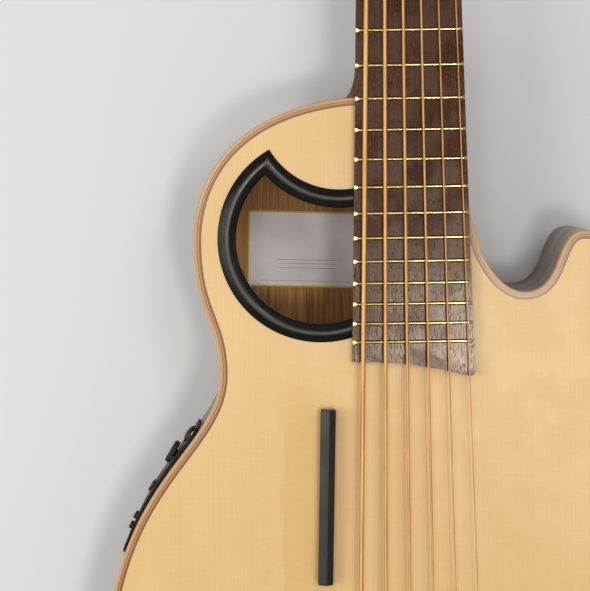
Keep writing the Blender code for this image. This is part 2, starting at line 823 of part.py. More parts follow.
def make_soundhole_edge():
    """Flange on the top and a lip down into the hole, open where the fingerboard covers it."""
    flange_loop = hole_path(0, GAP) + hole_path(HOLE_EDGE_WIDE, GAP)[::-1]
    lip_loop = (hole_path(HOLE_EDGE_OVERLAP + GAP, GAP) + hole_path(HOLE_EDGE_WIDE, GAP)[::-1])
    flange = plate("soundhole_edge", [flange_loop], TOP_Z + GAP, TOP_Z + GAP + HOLE_EDGE_HIGH,
                   black_plastic())
    lip = plate("lip", [lip_loop], TOP_LOW - HOLE_EDGE_DEEP, TOP_Z + HOLE_EDGE_HIGH / 2)
    return shape_with(flange, lip, 'UNION')


def make_label():
    half_x, half_y = LABEL_SIZE[0] / 2, LABEL_SIZE[1] / 2
    label = box("inside_label", (-half_x, -half_y, 0), (half_x, half_y, LABEL_THICK), paper())
    label.location = (*LABEL_CENTRE, INSIDE_LOW)
    label.rotation_euler.z = LABEL_TILT


def make_thumb_rest():
    """A bar on two feet whose top slopes both ways from a ridge."""
    half = THUMB_REST_SIZE[0] / 2
    ridge = half * 0.1
    soft = 0.0008
    outline = [(-half, 0), (half, 0), (half, THUMB_REST_SHOULDER - soft),
               (half - soft, THUMB_REST_SHOULDER), (ridge, THUMB_REST_HIGH),
               (-half + soft, THUMB_REST_SHOULDER + soft), (-half, THUMB_REST_SHOULDER)]
    reach = THUMB_REST_SIZE[1] / 2
    rest = prism("thumb_rest", outline, -reach, reach, OUTLINE_UPRIGHT, black_plastic())
    undercut = box("undercut", (-2 * half, -reach + THUMB_REST_FOOT, -half),
                   (2 * half, reach - THUMB_REST_FOOT, THUMB_REST_UNDERCUT))
    cut(rest, undercut)
    rest.location = (*THUMB_REST_CENTRE, TOP_Z + GAP)
    rest.rotation_euler.z = THUMB_REST_TILT


# Bridge

def string_x(number, at_nut):
    """Even centres at the nut, and even gaps between the strings at the saddle."""
    last = len(STRING_DIAMETERS) - 1
    if at_nut:
        return STRING_SHIFT_NUT + (number - last / 2) * STRING_SPACING_NUT
    steps = [(a + b) / 2 for a, b in zip(STRING_DIAMETERS, STRING_DIAMETERS[1:])]
    space = (STRING_SPAN_SADDLE - sum(steps)) / last
    return STRING_SHIFT_SADDLE - STRING_SPAN_SADDLE / 2 + sum(steps[:number]) + number * space


def make_bridge():
    low = TOP_Z + GAP
    wing = BRIDGE_RAIL_HALF + 0.006
    corner = BRIDGE_CORNER
    front = BRIDGE_FRONT - 0.003
    rear = -BRIDGE_REAR + 0.004
    right = bezier((wing, -BRIDGE_REAR), (wing + 0.010, -BRIDGE_REAR), (BRIDGE_HALF - 0.018, rear),
                   (BRIDGE_HALF - corner, rear), 3)
    right += arc((BRIDGE_HALF - corner, rear + corner), corner, -math.pi / 2, 0, 3)
    right += arc((BRIDGE_HALF - corner, front - corner), corner, 0, math.pi / 2, 3)
    right += bezier((BRIDGE_HALF - corner, front), (BRIDGE_HALF - 0.018, front),
                    (wing + 0.010, BRIDGE_FRONT), (wing, BRIDGE_FRONT), 3)[1:]
    right += [(wing, BRIDGE_FRONT)]
    left = [(-x, y) for x, y in reversed(right)]
    deck = plate("bridge", [right + left], low, low + BRIDGE_DECK_HIGH, dark_wood())
    bevelled(deck, 0.0008, 1, math.radians(60))
    rail = box("rail", (-BRIDGE_RAIL_HALF, -BRIDGE_REAR + 0.001, low + BRIDGE_DECK_HIGH / 2),
               (BRIDGE_RAIL_HALF, -BRIDGE_REAR + 0.001 + BRIDGE_RAIL_LONG, low + BRIDGE_RAIL_HIGH))
    bevelled(rail, 0.0012)
    shape_with(deck, rail, 'UNION')
    slot = box("saddle_slot",
               (-SADDLE_HALF - GAP, -SADDLE_THICK / 2 - GAP, low + BRIDGE_DECK_HIGH - SADDLE_SLOT_DEEP),
               (SADDLE_HALF + GAP, SADDLE_THICK / 2 + GAP, low + 2 * BRIDGE_DECK_HIGH))
    holes = []
    for number, diameter in enumerate(STRING_DIAMETERS):
        x = string_x(number, False)
        holes.append(rod("string_hole", diameter / 2 + 2 * GAP, (x, -2 * BRIDGE_REAR, low + BRIDGE_HOLE_HIGH),
                         (x, -SADDLE_THICK / 2 - GAP, low + BRIDGE_HOLE_HIGH), 10))
    return cut(deck, slot, gather("string_holes", holes, None))


def make_saddle():
    slot_low = TOP_Z + GAP + BRIDGE_DECK_HIGH - SADDLE_SLOT_DEEP
    pickup_top = slot_low + GAP + PICKUP_HIGH
    half = SADDLE_THICK / 2
    strip = box("pickup_strip", (-SADDLE_HALF, -half, slot_low + GAP), (SADDLE_HALF, half, pickup_top),
                brass())
    saddle = box("saddle", (-SADDLE_HALF, -half, pickup_top + GAP),
                 (SADDLE_HALF, half, STRING_LOW_SADDLE - GAP), bone())
    bevelled(saddle, 0.0005)
    return strip


# Neck

def neck_section(y, bass, treble, top, depth, foot):
    """One cross-section of the neck: flat on top, rounded behind, flat at the heel's foot."""
    steps = 5
    angles = [math.pi / 2 * step / steps for step in range(steps + 1)]
    left = [(-(foot + (bass - foot) * math.cos(a)), y, top - depth * math.sin(a)) for a in angles]
    right = [(foot + (treble - foot) * math.cos(a), y, top - depth * math.sin(a))
             for a in reversed(angles)]
    return left + right


def neck_sections():
    start = NECK_JOINT_Y + GAP
    full = TOP_Z
    sections = []
    for share in (0, 0.35, 0.7, 1):
        y = start + HEEL_LONG * share
        half = board_half(y)
        flare = HEEL_FLARE * (1 - share) ** 3
        foot = HEEL_FOOT_HALF * math.sqrt(1 - 0.75 * share ** 2)
        sections.append(neck_section(y, half + flare, half, TOP_Z, full, foot))
    curve_start = start + HEEL_LONG
    for share in (0.04, 0.15, 0.35, 0.6, 1):
        y = curve_start + HEEL_CURVE_LONG * share
        half = board_half(y)
        depth = NECK_DEPTH_BODY + (full - NECK_DEPTH_BODY) * (1 - math.sqrt(share)) ** 2
        foot = HEEL_FOOT_HALF / 2 * (1 - share) + 0.001
        sections.append(neck_section(y, half, half, TOP_Z, depth, foot))
    half = board_half(SCALE_LENGTH)
    sections.append(neck_section(SCALE_LENGTH - 0.010, board_half(SCALE_LENGTH - 0.010),
                                 board_half(SCALE_LENGTH - 0.010), TOP_Z, NECK_DEPTH_NUT, 0.001))
    sections.append(neck_section(NUT_REAR_Y, half, half, TOP_Z, NECK_DEPTH_NUT, 0.001))
    slope = math.tan(HEADSTOCK_ANGLE)
    thick = HEADSTOCK_THICK / math.cos(HEADSTOCK_ANGLE)
    for reach, below in ((0.010, 0.0035), (0.024, 0.0010), (0.034, -0.0020)):
        top = TOP_Z - reach * slope - 0.001
        sections.append(neck_section(NUT_REAR_Y + reach, half, half, top, thick - 0.001 + below, 0.004))
    return sections


def headstock_outline(lift):
    """The peghead's outline, its near end lifted a little clear of the nut."""
    near = board_half(SCALE_LENGTH)
    long = HEADSTOCK_LONG
    right = [(near, lift)]
    right += bezier((near, lift + 0.002), (near, HEADSTOCK_SHOULDER * 0.5),
                    (HEADSTOCK_WIDE_HALF, HEADSTOCK_SHOULDER * 0.55),
                    (HEADSTOCK_WIDE_HALF, HEADSTOCK_SHOULDER), 5)
    right += [(HEADSTOCK_WIDE_HALF, HEADSTOCK_SHOULDER)]
    right += bezier((HEADSTOCK_END_HALF, long - 0.012), (HEADSTOCK_END_HALF - 0.001, long - 0.003),
                    (HEADSTOCK_END_HALF - 0.004, long), (HEADSTOCK_END_HALF - 0.012, long), 3)
    right += bezier((HEADSTOCK_END_HALF - 0.012, long), (0.016, long + 0.0005),
                    (0.010, long + HEADSTOCK_CROWN), (0, long + HEADSTOCK_CROWN), 4)
    left = [(-x, y) for x, y in reversed(right)]
    return right + [(0, long + HEADSTOCK_CROWN)] + left


def tuner_places():
    """Number, side and post centre for each tuner, from the thickest string to the thinnest."""
    places = []
    for number in range(len(STRING_DIAMETERS)):
        side = -1 if number < 3 else 1
        step = number if number < 3 else 5 - number
        places.append((number, side, side * POST_ROW_HALF, POST_V[step]))
    return places


def post_holes(radius, low, high):
    holes = []
    for _, _, u, v in tuner_places():
        holes.append(rod("post_hole", radius, (u, v, low), (u, v, high), ROUND_SIDES))
    made = gather("post_holes", holes, None)
    made.matrix_world = HEADSTOCK_FRAME
    return made


def make_neck():
    neck = loft("neck", neck_sections(), neck_wood())
    head = plate("headstock", [headstock_outline(0)], -HEADSTOCK_THICK, 0)
    head.matrix_world = HEADSTOCK_FRAME
    shape_with(neck, head, 'UNION')
    tenon = box("tenon", (-TENON_HALF, NECK_JOINT_Y - TENON_LONG, TENON_LOW),
                (TENON_HALF, NECK_JOINT_Y + 4 * GAP, TENON_HIGH))
    shape_with(neck, tenon, 'UNION')
    rod_room = box("rod_room",
                   (-ROD_WIDE / 2 - GAP, ROD_START_Y - GAP, TOP_Z - ROD_AXIS_DROP - ROD_HIGH / 2 - GAP),
                   (ROD_WIDE / 2 + GAP, NUT_REAR_Y + 0.002, TOP_Z + ROD_HIGH))
    pocket = box("rod_pocket", (-POCKET_HALF, 0.0015, -0.011), (POCKET_HALF, POCKET_LONG, 0.010))
    pocket.matrix_world = HEADSTOCK_FRAME
    flat_x = strap_button_x()
    button_seat = rod("button_seat", STRAP_BUTTON_RADIUS + 2 * GAP,
                      (flat_x, NECK_JOINT_Y + HEEL_LONG / 2, STRAP_BUTTON_HEIGHT),
                      (flat_x + 0.05, NECK_JOINT_Y + HEEL_LONG / 2, STRAP_BUTTON_HEIGHT), 16)
    holes = post_holes(BUSHING_RADIUS + GAP, -2 * HEADSTOCK_THICK, HEADSTOCK_THICK)
    cut(neck, rod_room, pocket, button_seat, holes)


def strap_button_x():
    """The heel's treble face at the strap button, cut a little below its skin."""
    angle = math.asin((TOP_Z - STRAP_BUTTON_HEIGHT) / TOP_Z)
    half = board_half(NECK_JOINT_Y + HEEL_LONG / 2)
    foot = HEEL_FOOT_HALF * 0.9
    return foot + (half - foot) * math.cos(angle) - 0.003


def make_strap_button():
    radius = STRAP_BUTTON_RADIUS
    long = STRAP_BUTTON_LONG
    profile = [(0, 0), (radius, 0), (radius, 0.0015), (radius * 0.55, 0.004), (radius * 0.5, long * 0.6),
               (radius * 0.95, long * 0.78), (radius, long * 0.9), (radius * 0.8, long), (0, long)]
    place = (Matrix.Translation((strap_button_x() + GAP, NECK_JOINT_Y + HEEL_LONG / 2,
                                 STRAP_BUTTON_HEIGHT)) @ Matrix.Rotation(math.pi / 2, 4, 'Y'))
    turned("strap_button", profile, 16, chrome(), place=place)


def mortise():
    """Room for the neck's tenon."""
    return box("mortise", (-TENON_HALF - GAP, NECK_JOINT_Y - TENON_LONG - GAP, TENON_LOW - GAP),
               (TENON_HALF + GAP, NECK_JOINT_Y + SIDE_THICK, TENON_HIGH + GAP))


def make_truss_rod():
    axis = TOP_Z - ROD_AXIS_DROP
    box("truss_rod", (-ROD_WIDE / 2, ROD_START_Y, axis - ROD_HIGH / 2),
        (ROD_WIDE / 2, NUT_REAR_Y + 0.0015, axis + ROD_HIGH / 2 - GAP), steel())
    start = NUT_REAR_Y + 0.0015 + GAP
    rod("truss_rod_nut", ROD_NUT_RADIUS, (0, start, axis), (0, start + ROD_NUT_LONG, axis), 6, steel())


def make_fingerboard():
    near = board_half(SCALE_LENGTH)
    end_half = board_half(BOARD_END_Y)
    treble_half = board_half(BOARD_TREBLE_END_Y + BOARD_CORNER)
    corner_x = treble_half - BOARD_CORNER
    loop = [(-near, SCALE_LENGTH)]
    loop += bezier((-end_half, BOARD_END_Y), (-end_half + 0.045, BOARD_END_Y),
                   (corner_x - 0.022, BOARD_TREBLE_END_Y + 0.0045), (corner_x, BOARD_TREBLE_END_Y), 9)
    loop += arc((corner_x, BOARD_TREBLE_END_Y + BOARD_CORNER), BOARD_CORNER, -math.pi / 2, 0, 3)
    loop += [(near, SCALE_LENGTH)]
    board = plate("fingerboard", [loop], BOARD_LOW, BOARD_TOP)
    shape_with(board, fret_bars(), 'UNION')
    board.data.materials.append(dark_wood())


def fret_bars():
    """Wires pressed into the board, with sloping ends."""
    bars = []
    for number in range(1, FRET_COUNT + 1):
        y = SCALE_LENGTH * 2 ** (-number / 12)
        half = board_half(y) - FRET_END_INSET
        mesh = bpy.data.meshes.new("fret")
        shape = bmesh.new()
        bmesh.ops.create_cube(shape, size=1)
        for vert in shape.verts:
            top = vert.co.z > 0
            across = FRET_CROWN_WIDE if top else FRET_WIDE
            reach = half - FRET_END_SLOPE if top else half
            vert.co = (2 * vert.co.x * reach, y + vert.co.y * across,
                       BOARD_TOP + (FRET_HIGH if top else -FRET_TANG))
        shape.to_mesh(mesh)
        shape.free()
        bars.append(link("fret", mesh, None))
    return gather("fret_bars", bars, None)


def make_nut():
    """A bar with one slot for each string."""
    half = board_half(SCALE_LENGTH)
    low = TOP_Z + GAP
    high = BOARD_TOP + NUT_HIGH
    outline = [(-half, low), (half, low), (half, high - 0.001), (half - 0.001, high)]
    for number in reversed(range(len(STRING_DIAMETERS))):
        x = string_x(number, True)
        room = STRING_DIAMETERS[number] / 2 + 1.4 * GAP
        floor = STRING_LOW_NUT - GAP
        outline += [(x + room, high), (x + room, floor), (x - room, floor), (x - room, high)]
    outline += [(-half + 0.001, high), (-half, high - 0.001)]
    prism("nut", outline, NUT_FRONT_Y, NUT_REAR_Y, OUTLINE_UPRIGHT, bone())


# Headstock

def make_faceplate(frame):
    lift = 0.0008
    holes = [circle((u, v), BUSHING_RADIUS + GAP, ROUND_SIDES) for _, _, u, v in tuner_places()]
    pocket = [(-POCKET_HALF, 0.0030), (POCKET_HALF, 0.0030), (POCKET_HALF, POCKET_LONG),
              (-POCKET_HALF, POCKET_LONG)]
    plate("headstock_faceplate", [headstock_outline(lift)] + holes + [pocket], GAP, FACE_W,
          dark_wood(), frame)
    cover_low = FACE_W + GAP
    near, far = 0.0100, 0.0055
    loop = [(-near, 0.0016), (near, 0.0016), (near, 0.008)]
    loop += bezier((near, 0.010), (near, 0.016), (far + 0.001, 0.014), (far, COVER_LONG - 0.006), 3)
    loop += [(far - 0.001, COVER_LONG - 0.001), (far - 0.003, COVER_LONG)]
    left = [(-x, y) for x, y in reversed(loop[2:])]
    plate("truss_rod_cover", [loop + left], cover_low, cover_low + COVER_THICK, black_plastic(), frame)


def wrap_points(side, u, v, diameter, entry_w, start_angle):
    """The string's way into its wrap, the turns up round the post, and a straight end."""
    radius = POST_WAIST_RADIUS + GAP + diameter / 2
    pitch = diameter + WRAP_SPARE
    turning = -side
    points = []
    for step in range(WRAP_TURNS * WRAP_POINTS + 1):
        angle = start_angle + turning * 2 * math.pi * step / WRAP_POINTS
        points.append(Vector((u + radius * math.cos(angle), v + radius * math.sin(angle),
                              entry_w + pitch * step / WRAP_POINTS)))
    end_angle = start_angle + turning * 2 * math.pi * WRAP_TURNS
    along = Vector((-math.sin(end_angle), math.cos(end_angle), 0)) * turning
    return points + [points[-1] + along * diameter]


def entry_angle(side, u, v, radius, from_u, from_v):
    """Where a string coming from the nut first touches its wrap, on the post's inner side."""
    offset = Vector((from_u - u, from_v - v))
    spread = math.acos(radius / offset.length)
    return math.atan2(offset.y, offset.x) - side * spread


def string_entries():
    """For each string: its points from the nut to its end, in the headstock's frame."""
    to_head = HEADSTOCK_FRAME.inverted()
    entries = []
    for number, side, u, v in tuner_places():
        diameter = STRING_DIAMETERS[number]
        nut_exit = to_head @ Vector((string_x(number, True), NUT_REAR_Y, STRING_LOW_NUT + diameter / 2))
        radius = POST_WAIST_RADIUS + GAP + diameter / 2
        entry_w = FACE_W + GAP + BUSHING_FLANGE_THICK + WRAP_RISE + diameter / 2
        angle = entry_angle(side, u, v, radius, nut_exit.x, nut_exit.y)
        wrap = wrap_points(side, u, v, diameter, entry_w, angle)
        leads = [wrap[0].lerp(nut_exit, share / WRAP_LEADS * WRAP_LEAD_SHARE)
                 for share in range(WRAP_LEADS, 0, -1)]
        entries.append([nut_exit] + leads + wrap)
    return entries


def least_wrap_gap(points, diameter):
    """The least room between a string and its own turns, more than three diameters along it."""
    reach = [0.0]
    for first, second in zip(points, points[1:]):
        reach.append(reach[-1] + (second - first).length)
    least = min((b - a).length for i, a in enumerate(points) for j, b in enumerate(points)
                if reach[j] - reach[i] > 3 * diameter)
    return least - diameter


def gear_outline(u, v):
    loop = []
    for step in range(2 * GEAR_TEETH):
        radius = GEAR_RADIUS if step % 2 == 0 else GEAR_RADIUS - GEAR_TOOTH
        angle = math.pi * step / GEAR_TEETH
        loop.append((u + radius * math.cos(angle), v + radius * math.sin(angle)))
    return loop


def key_outline():
    """A rounded key with three soft lobes."""
    loop = []
    for step in range(KEY_POINTS):
        angle = 2 * math.pi * step / KEY_POINTS
        radius = KEY_RADIUS * (1 + KEY_LOBE * math.cos(3 * angle))
        loop.append((radius * math.cos(angle), radius * math.sin(angle)))
    return loop


def make_tuner(number, side, u, v, frame):
    """Post with its worm wheel, and key with its worm shaft."""
    waist_low = FACE_W + GAP + BUSHING_FLANGE_THICK
    profile = [(0, GEAR_LOW_W), (POST_RADIUS, GEAR_LOW_W), (POST_RADIUS, waist_low),
               (POST_WAIST_RADIUS, waist_low + 0.0006), (POST_WAIST_RADIUS, POST_HIGH - 0.0025),
               (POST_RADIUS, POST_HIGH - 0.0018), (POST_RADIUS, POST_HIGH - 0.0005),
               (POST_RADIUS - 0.0008, POST_HIGH), (0, POST_HIGH)]
    post = turned("post", profile, ROUND_SIDES, place=Matrix.Translation((u, v, 0)))
    gear = plate("gear", [gear_outline(u, v)], GEAR_LOW_W, GEAR_TOP_W)
    shape_with(post, gear, 'UNION')
    gather(f"tuner_post_{number + 1}", [post], chrome(), frame)

    axis_v = v + WORM_OFFSET
    inner_end = u - side * (LUG_HALF + 0.0015)
    outer_end = u + side * (KEY_REACH - KEY_RADIUS * (1 - KEY_LOBE) * 0.6)
    shaft = rod("shaft", SHAFT_RADIUS, (inner_end, axis_v, WORM_W), (outer_end, axis_v, WORM_W), 10)
    worm = rod("worm", WORM_RADIUS, (u - WORM_LONG / 2, axis_v, WORM_W),
               (u + WORM_LONG / 2, axis_v, WORM_W), 10)
    button = plate("button", [key_outline()], -KEY_THICK / 2, KEY_THICK / 2)
    bevelled(button, 0.0012)
    turn = Matrix.Rotation(math.pi if side > 0 else 0, 4, 'Z')
    button.data.transform(Matrix.Translation((u + side * KEY_REACH, axis_v, WORM_W)) @ turn)
    shape_with(shaft, worm, 'UNION')
    shape_with(shaft, button, 'UNION')
    gather(f"tuner_key_{number + 1}", [shaft], chrome(), frame)


def make_tuner_housing(number, u, v, frame):
    """A back plate with two lugs for the worm shaft, and the post's sleeve up to its front nut."""
    high = -HEADSTOCK_THICK - GAP
    low = high - PLATE_THICK
    inner = POST_RADIUS + GAP
    sleeve_middle = (inner + BUSHING_RADIUS) / 2
    ahead = WORM_OFFSET + WORM_RADIUS + 0.001
    loop = [(u - PLATE_HALF, v - PLATE_BEHIND), (u + PLATE_HALF, v - PLATE_BEHIND),
            (u + PLATE_HALF, v + ahead), (u - PLATE_HALF, v + ahead)]
    base = plate("base", [loop, circle((u, v), sleeve_middle, ROUND_SIDES)], low, high)
    axis_v = v + WORM_OFFSET
    lug_half = SHAFT_RADIUS + 0.0018
    for end in (-1, 1):
        near = u + end * (LUG_HALF - LUG_THICK)
        far = u + end * LUG_HALF
        lug = box("lug", (min(near, far), axis_v - lug_half, WORM_W - lug_half),
                  (max(near, far), axis_v + lug_half, high - PLATE_THICK / 2))
        shape_with(base, lug, 'UNION')
    flange = FACE_W + GAP
    profile = [(inner, COLLAR_W), (BUSHING_RADIUS, COLLAR_W), (BUSHING_RADIUS, flange),
               (BUSHING_FLANGE_RADIUS, flange),
               (BUSHING_FLANGE_RADIUS - 0.0006, flange + BUSHING_FLANGE_THICK),
               (inner, flange + BUSHING_FLANGE_THICK), (inner, COLLAR_W)]
    sleeve = turned("sleeve", profile, ROUND_SIDES, place=Matrix.Translation((u, v, 0)))
    shape_with(base, sleeve, 'UNION')
    bore = rod("shaft_bore", SHAFT_RADIUS + GAP, (u - 2 * PLATE_HALF, axis_v, WORM_W),
               (u + 2 * PLATE_HALF, axis_v, WORM_W), 12)
    cut(base, bore)
    gather(f"tuner_housing_{number + 1}", [base], chrome(), frame)


def make_strings():
    """Each string as one unbroken tube from its ball end to the end of its wrap."""
    low = TOP_Z + GAP + BRIDGE_HOLE_HIGH
    rail_rear = -BRIDGE_REAR + 0.001
    for number, entry in enumerate(string_entries()):
        diameter = STRING_DIAMETERS[number]
        print(f"string {STRING_NAMES[number]}: least gap to itself in the wrap "
              f"{least_wrap_gap(entry, diameter) * 1000:.2f} mm")
        at_saddle = string_x(number, False)
        at_nut = string_x(number, True)
        height_saddle = STRING_LOW_SADDLE + diameter / 2
        height_nut = STRING_LOW_NUT + diameter / 2
        ball_y = rail_rear - GAP - BALL_RADIUS
        path = [(at_saddle, ball_y, low), (at_saddle, rail_rear + BRIDGE_RAIL_LONG + 0.001, low),
                (at_saddle, -SADDLE_THICK / 2 - GAP, height_saddle),
                (at_saddle, SADDLE_THICK / 2, height_saddle),
                (at_nut, SCALE_LENGTH, height_nut)]
        path += [tuple(HEADSTOCK_FRAME @ point) for point in entry]
        string = tube("string", path, diameter, resolution=1)
        ball = rod("ball", BALL_RADIUS, (at_saddle - BALL_LONG / 2, ball_y, low),
                   (at_saddle + BALL_LONG / 2, ball_y, low), 10)
        shape_with(string, ball, 'UNION')
        gather(f"string_{STRING_NAMES[number]}", [string], bronze())


# Preamp and leads

def outline_at(y):
    """The body's edge on the bass side at a place along it."""
    for first, second in zip(BASS_HALF, BASS_HALF[1:]):
        if second[1] <= y <= first[1]:
            share = (first[1] - y) / (first[1] - second[1])
            return Vector((first[0] + (second[0] - first[0]) * share, y))
    return Vector(BASS_HALF[-1])


def preamp_frame():
    """X along the rib towards the neck, Y out of the guitar, Z up, and the panel's length.

    Y is zero where the rib bulges furthest beyond the straight line between the panel's ends.
    """
    start, end = outline_at(PREAMP_Y_HIGH), outline_at(PREAMP_Y_LOW)
    along = (start - end).normalized()
    outward = Vector((-along.y, along.x))
    bulge = max((Vector(point) - start).dot(outward) for point in BASS_HALF
                if PREAMP_Y_LOW < point[1] < PREAMP_Y_HIGH)
    origin = (start + end) / 2 + outward * bulge
    matrix = Matrix(((along.x, outward.x, 0, origin.x), (along.y, outward.y, 0, origin.y),
                     (0, 0, 1, BODY_DEPTH / 2), (0, 0, 0, 1)))
    return matrix, (start - end).length


def rib_height(matrix, at):
    """The rib's outer face at a place along the panel, in the preamp's frame."""
    places = [matrix.inverted() @ Vector((*point, BODY_DEPTH / 2)) for point in BASS_HALF]
    for first, second in zip(places, places[1:]):
        if second.x <= at <= first.x:
            return first.y + (second.y - first.y) * (first.x - at) / (first.x - second.x)
    return 0.0


def rounded_rectangle(half_x, half_y, corner, steps=3):
    loop = []
    for quarter, (x, y) in enumerate(((1, 1), (-1, 1), (-1, -1), (1, -1))):
        centre = (x * (half_x - corner), y * (half_y - corner))
        loop += arc(centre, corner, quarter * math.pi / 2, (quarter + 1) * math.pi / 2, steps)
    return loop


def rib_strip(name, matrix, near, far, outline):
    """A piece that lies along the rib between two distances from it, cut to an outline."""
    paths = []
    for distance in (near, far):
        paths.append([point for point in inset(OUTLINE, -distance)[:TAIL_INDEX]
                      if PREAMP_Y_LOW - 0.05 < point[1] < PREAMP_Y_HIGH + 0.03])
    middle = BODY_DEPTH / 2
    strip = plate(name, [paths[0] + paths[1][::-1]], middle - PANEL_HIGH, middle + PANEL_HIGH,
                  black_plastic())
    shape = prism("shape", outline, -0.02, 0.02, OUTLINE_UPRIGHT)
    shape.matrix_world = matrix
    return shape_with(strip, shape, 'INTERSECT')


def make_preamp_panel(matrix, length):
    """A thin curved panel with a domed end, and openings for controls and battery."""
    panel = rib_strip("preamp_panel", matrix, GAP, GAP + PANEL_THICK,
                      rounded_rectangle(length / 2, PANEL_HIGH / 2, PANEL_CORNER))
    low = rib_height(matrix, PANEL_DOME_AT + PANEL_DOME_RADIUS) + GAP + PANEL_THICK / 2
    high = rib_height(matrix, PANEL_DOME_AT) + PANEL_DOME_PROUD
    radius = PANEL_DOME_RADIUS
    dome = turned("dome", [(0, low), (radius, low), (radius, high - 0.0030), (radius * 0.86, high - 0.0012),
                           (radius * 0.5, high), (0, high)], 16)
    dome.data.transform(matrix @ Matrix.Translation((PANEL_DOME_AT, 0, CONTROL_ROW))
                        @ Matrix.Rotation(-math.pi / 2, 4, 'X'))
    shape_with(panel, dome, 'UNION')
    openings = [rod("knob_hole", 0.0030 + GAP, (KNOB_AT, -0.02, CONTROL_ROW),
                    (KNOB_AT, 0.02, CONTROL_ROW), 12)]
    for row in SLIDER_ROWS:
        reach = SLIDER_TRAVEL + 2 * STEM_HALF + GAP
        openings.append(box("slot", (SLIDER_MIDDLE - reach, -0.02, row - STEM_HALF - GAP),
                            (SLIDER_MIDDLE + reach, 0.02, row + STEM_HALF + GAP)))
    for at in BUTTON_AT:
        openings.append(rod("button_hole", BUTTON_RADIUS + GAP, (at, -0.02, CONTROL_ROW),
                            (at, 0.02, CONTROL_ROW), 12))
    half_x, half_z = DOOR_SIZE[0] / 2 + GAP, DOOR_SIZE[1] / 2 + GAP
    openings.append(box("door_hole", (-half_x, -0.02, DOOR_ROW - half_z),
                        (half_x, 0.02, DOOR_ROW + half_z + DOOR_SWING_ROOM)))
    for opening in openings:
        opening.matrix_world = matrix
    cut(panel, gather("panel_openings", openings, None))


def make_battery_door(matrix):
    half_x, half_z = DOOR_SIZE[0] / 2, DOOR_SIZE[1] / 2
    outline = [(-half_x, DOOR_ROW - half_z), (half_x, DOOR_ROW - half_z), (half_x, DOOR_ROW + half_z),
               (-half_x, DOOR_ROW + half_z)]
    rib_strip("battery_door", matrix, GAP, GAP + PANEL_THICK, outline)


def make_preamp_box(matrix, length, front, rib):
    """The electronics' case, through an opening in the rib, with a bay for a battery."""
    half_x = length / 2 - PANEL_RIM - 2 * GAP
    half_z = PANEL_HIGH / 2 - PANEL_RIM - 2 * GAP
    case = box("preamp_box", (-half_x, front - PREAMP_BOX_DEEP, -half_z), (half_x, front, half_z),
               black_plastic())
    bay = box("battery_bay", (-BATTERY_BAY[0] / 2, front - BATTERY_BAY[2], DOOR_ROW - BATTERY_BAY[1] / 2),
              (BATTERY_BAY[0] / 2, 0.01, DOOR_ROW + BATTERY_BAY[1] / 2))
    case.matrix_world = matrix
    bay.matrix_world = matrix
    cut(case, bay)
    opening = box("preamp_opening", (-half_x - GAP, -0.03, -half_z - GAP), (half_x + GAP, 0.03, half_z + GAP))
    opening.matrix_world = matrix
    cut(rib, opening)


def make_controls(matrix, case_front):
    """A knob, three sliders and two buttons, whose stems end just short of the case."""
    frame = empty("preamp_frame", matrix)
    upright = Matrix.Rotation(-math.pi / 2, 4, 'X')
    front = case_front + GAP
    seat = rib_height(matrix, KNOB_AT - KNOB_RADIUS) + PANEL_THICK + 2 * GAP
    high = rib_height(matrix, KNOB_AT) + KNOB_PROUD
    knob = turned("volume_knob", [(0, front), (0.0030, front), (0.0030, seat), (KNOB_RADIUS, seat),
                                  (KNOB_RADIUS, high - 0.001), (KNOB_RADIUS - 0.001, high), (0, high)],
                  20, black_plastic(), frame, place=upright)
    knob.location = (KNOB_AT, 0, CONTROL_ROW)
    seat = PANEL_THICK + 2 * GAP
    half_x, half_z = SLIDER_SIZE[0] / 2, SLIDER_SIZE[1] / 2
    for index, (setting, row) in enumerate(zip(SLIDER_SET, SLIDER_ROWS)):
        cap = box("cap", (-half_x, seat, -half_z), (half_x, SLIDER_PROUD, half_z))
        bevelled(cap, 0.0006)
        stem = box("stem", (-2 * STEM_HALF, front, -STEM_HALF), (2 * STEM_HALF, seat + 0.001, STEM_HALF))
        shape_with(cap, stem, 'UNION')
        slider = gather(f"slider_cap_{index + 1}", [cap], black_plastic(), frame)
        slider.location = (SLIDER_MIDDLE + setting, 0, row)
    for name, at in zip(("phase_button", "tuner_button"), BUTTON_AT):
        high = rib_height(matrix, at) + BUTTON_PROUD
        button = turned(name, [(0, front + BUTTON_TRAVEL), (BUTTON_RADIUS, front + BUTTON_TRAVEL),
                               (BUTTON_RADIUS, high - 0.0006), (BUTTON_RADIUS - 0.0006, high), (0, high)],
                        12, black_plastic(), frame, place=upright)
        button.location = (at, 0, CONTROL_ROW)


def jack_room(radius, far):
    return rod("jack_room", radius, (0, TAIL_Y - 0.01, BODY_DEPTH / 2), (0, TAIL_Y + far, BODY_DEPTH / 2), 16)


def make_output_jack():
    """A socket through the tail block whose outer end is also a strap button."""
    inside, proud, bore = JACK_INSIDE, JACK_PROUD, JACK_BORE_RADIUS
    profile = [(0, -inside), (JACK_RADIUS, -inside), (JACK_RADIUS, GAP), (JACK_FLANGE_RADIUS, GAP),
               (JACK_FLANGE_RADIUS, GAP + 0.002), (JACK_RADIUS + 0.001, 0.004),
               (JACK_RADIUS + 0.0005, proud - 0.005), (JACK_KNOB_RADIUS, proud - 0.0035),
               (JACK_KNOB_RADIUS, proud), (bore, proud), (bore, proud - JACK_BORE_DEEP),
               (0, proud - JACK_BORE_DEEP)]
    place = Matrix.Translation((0, TAIL_Y, BODY_DEPTH / 2)) @ Matrix.Rotation(math.pi / 2, 4, 'X')
    return turned("output_jack", profile, 16, chrome(), place=place)


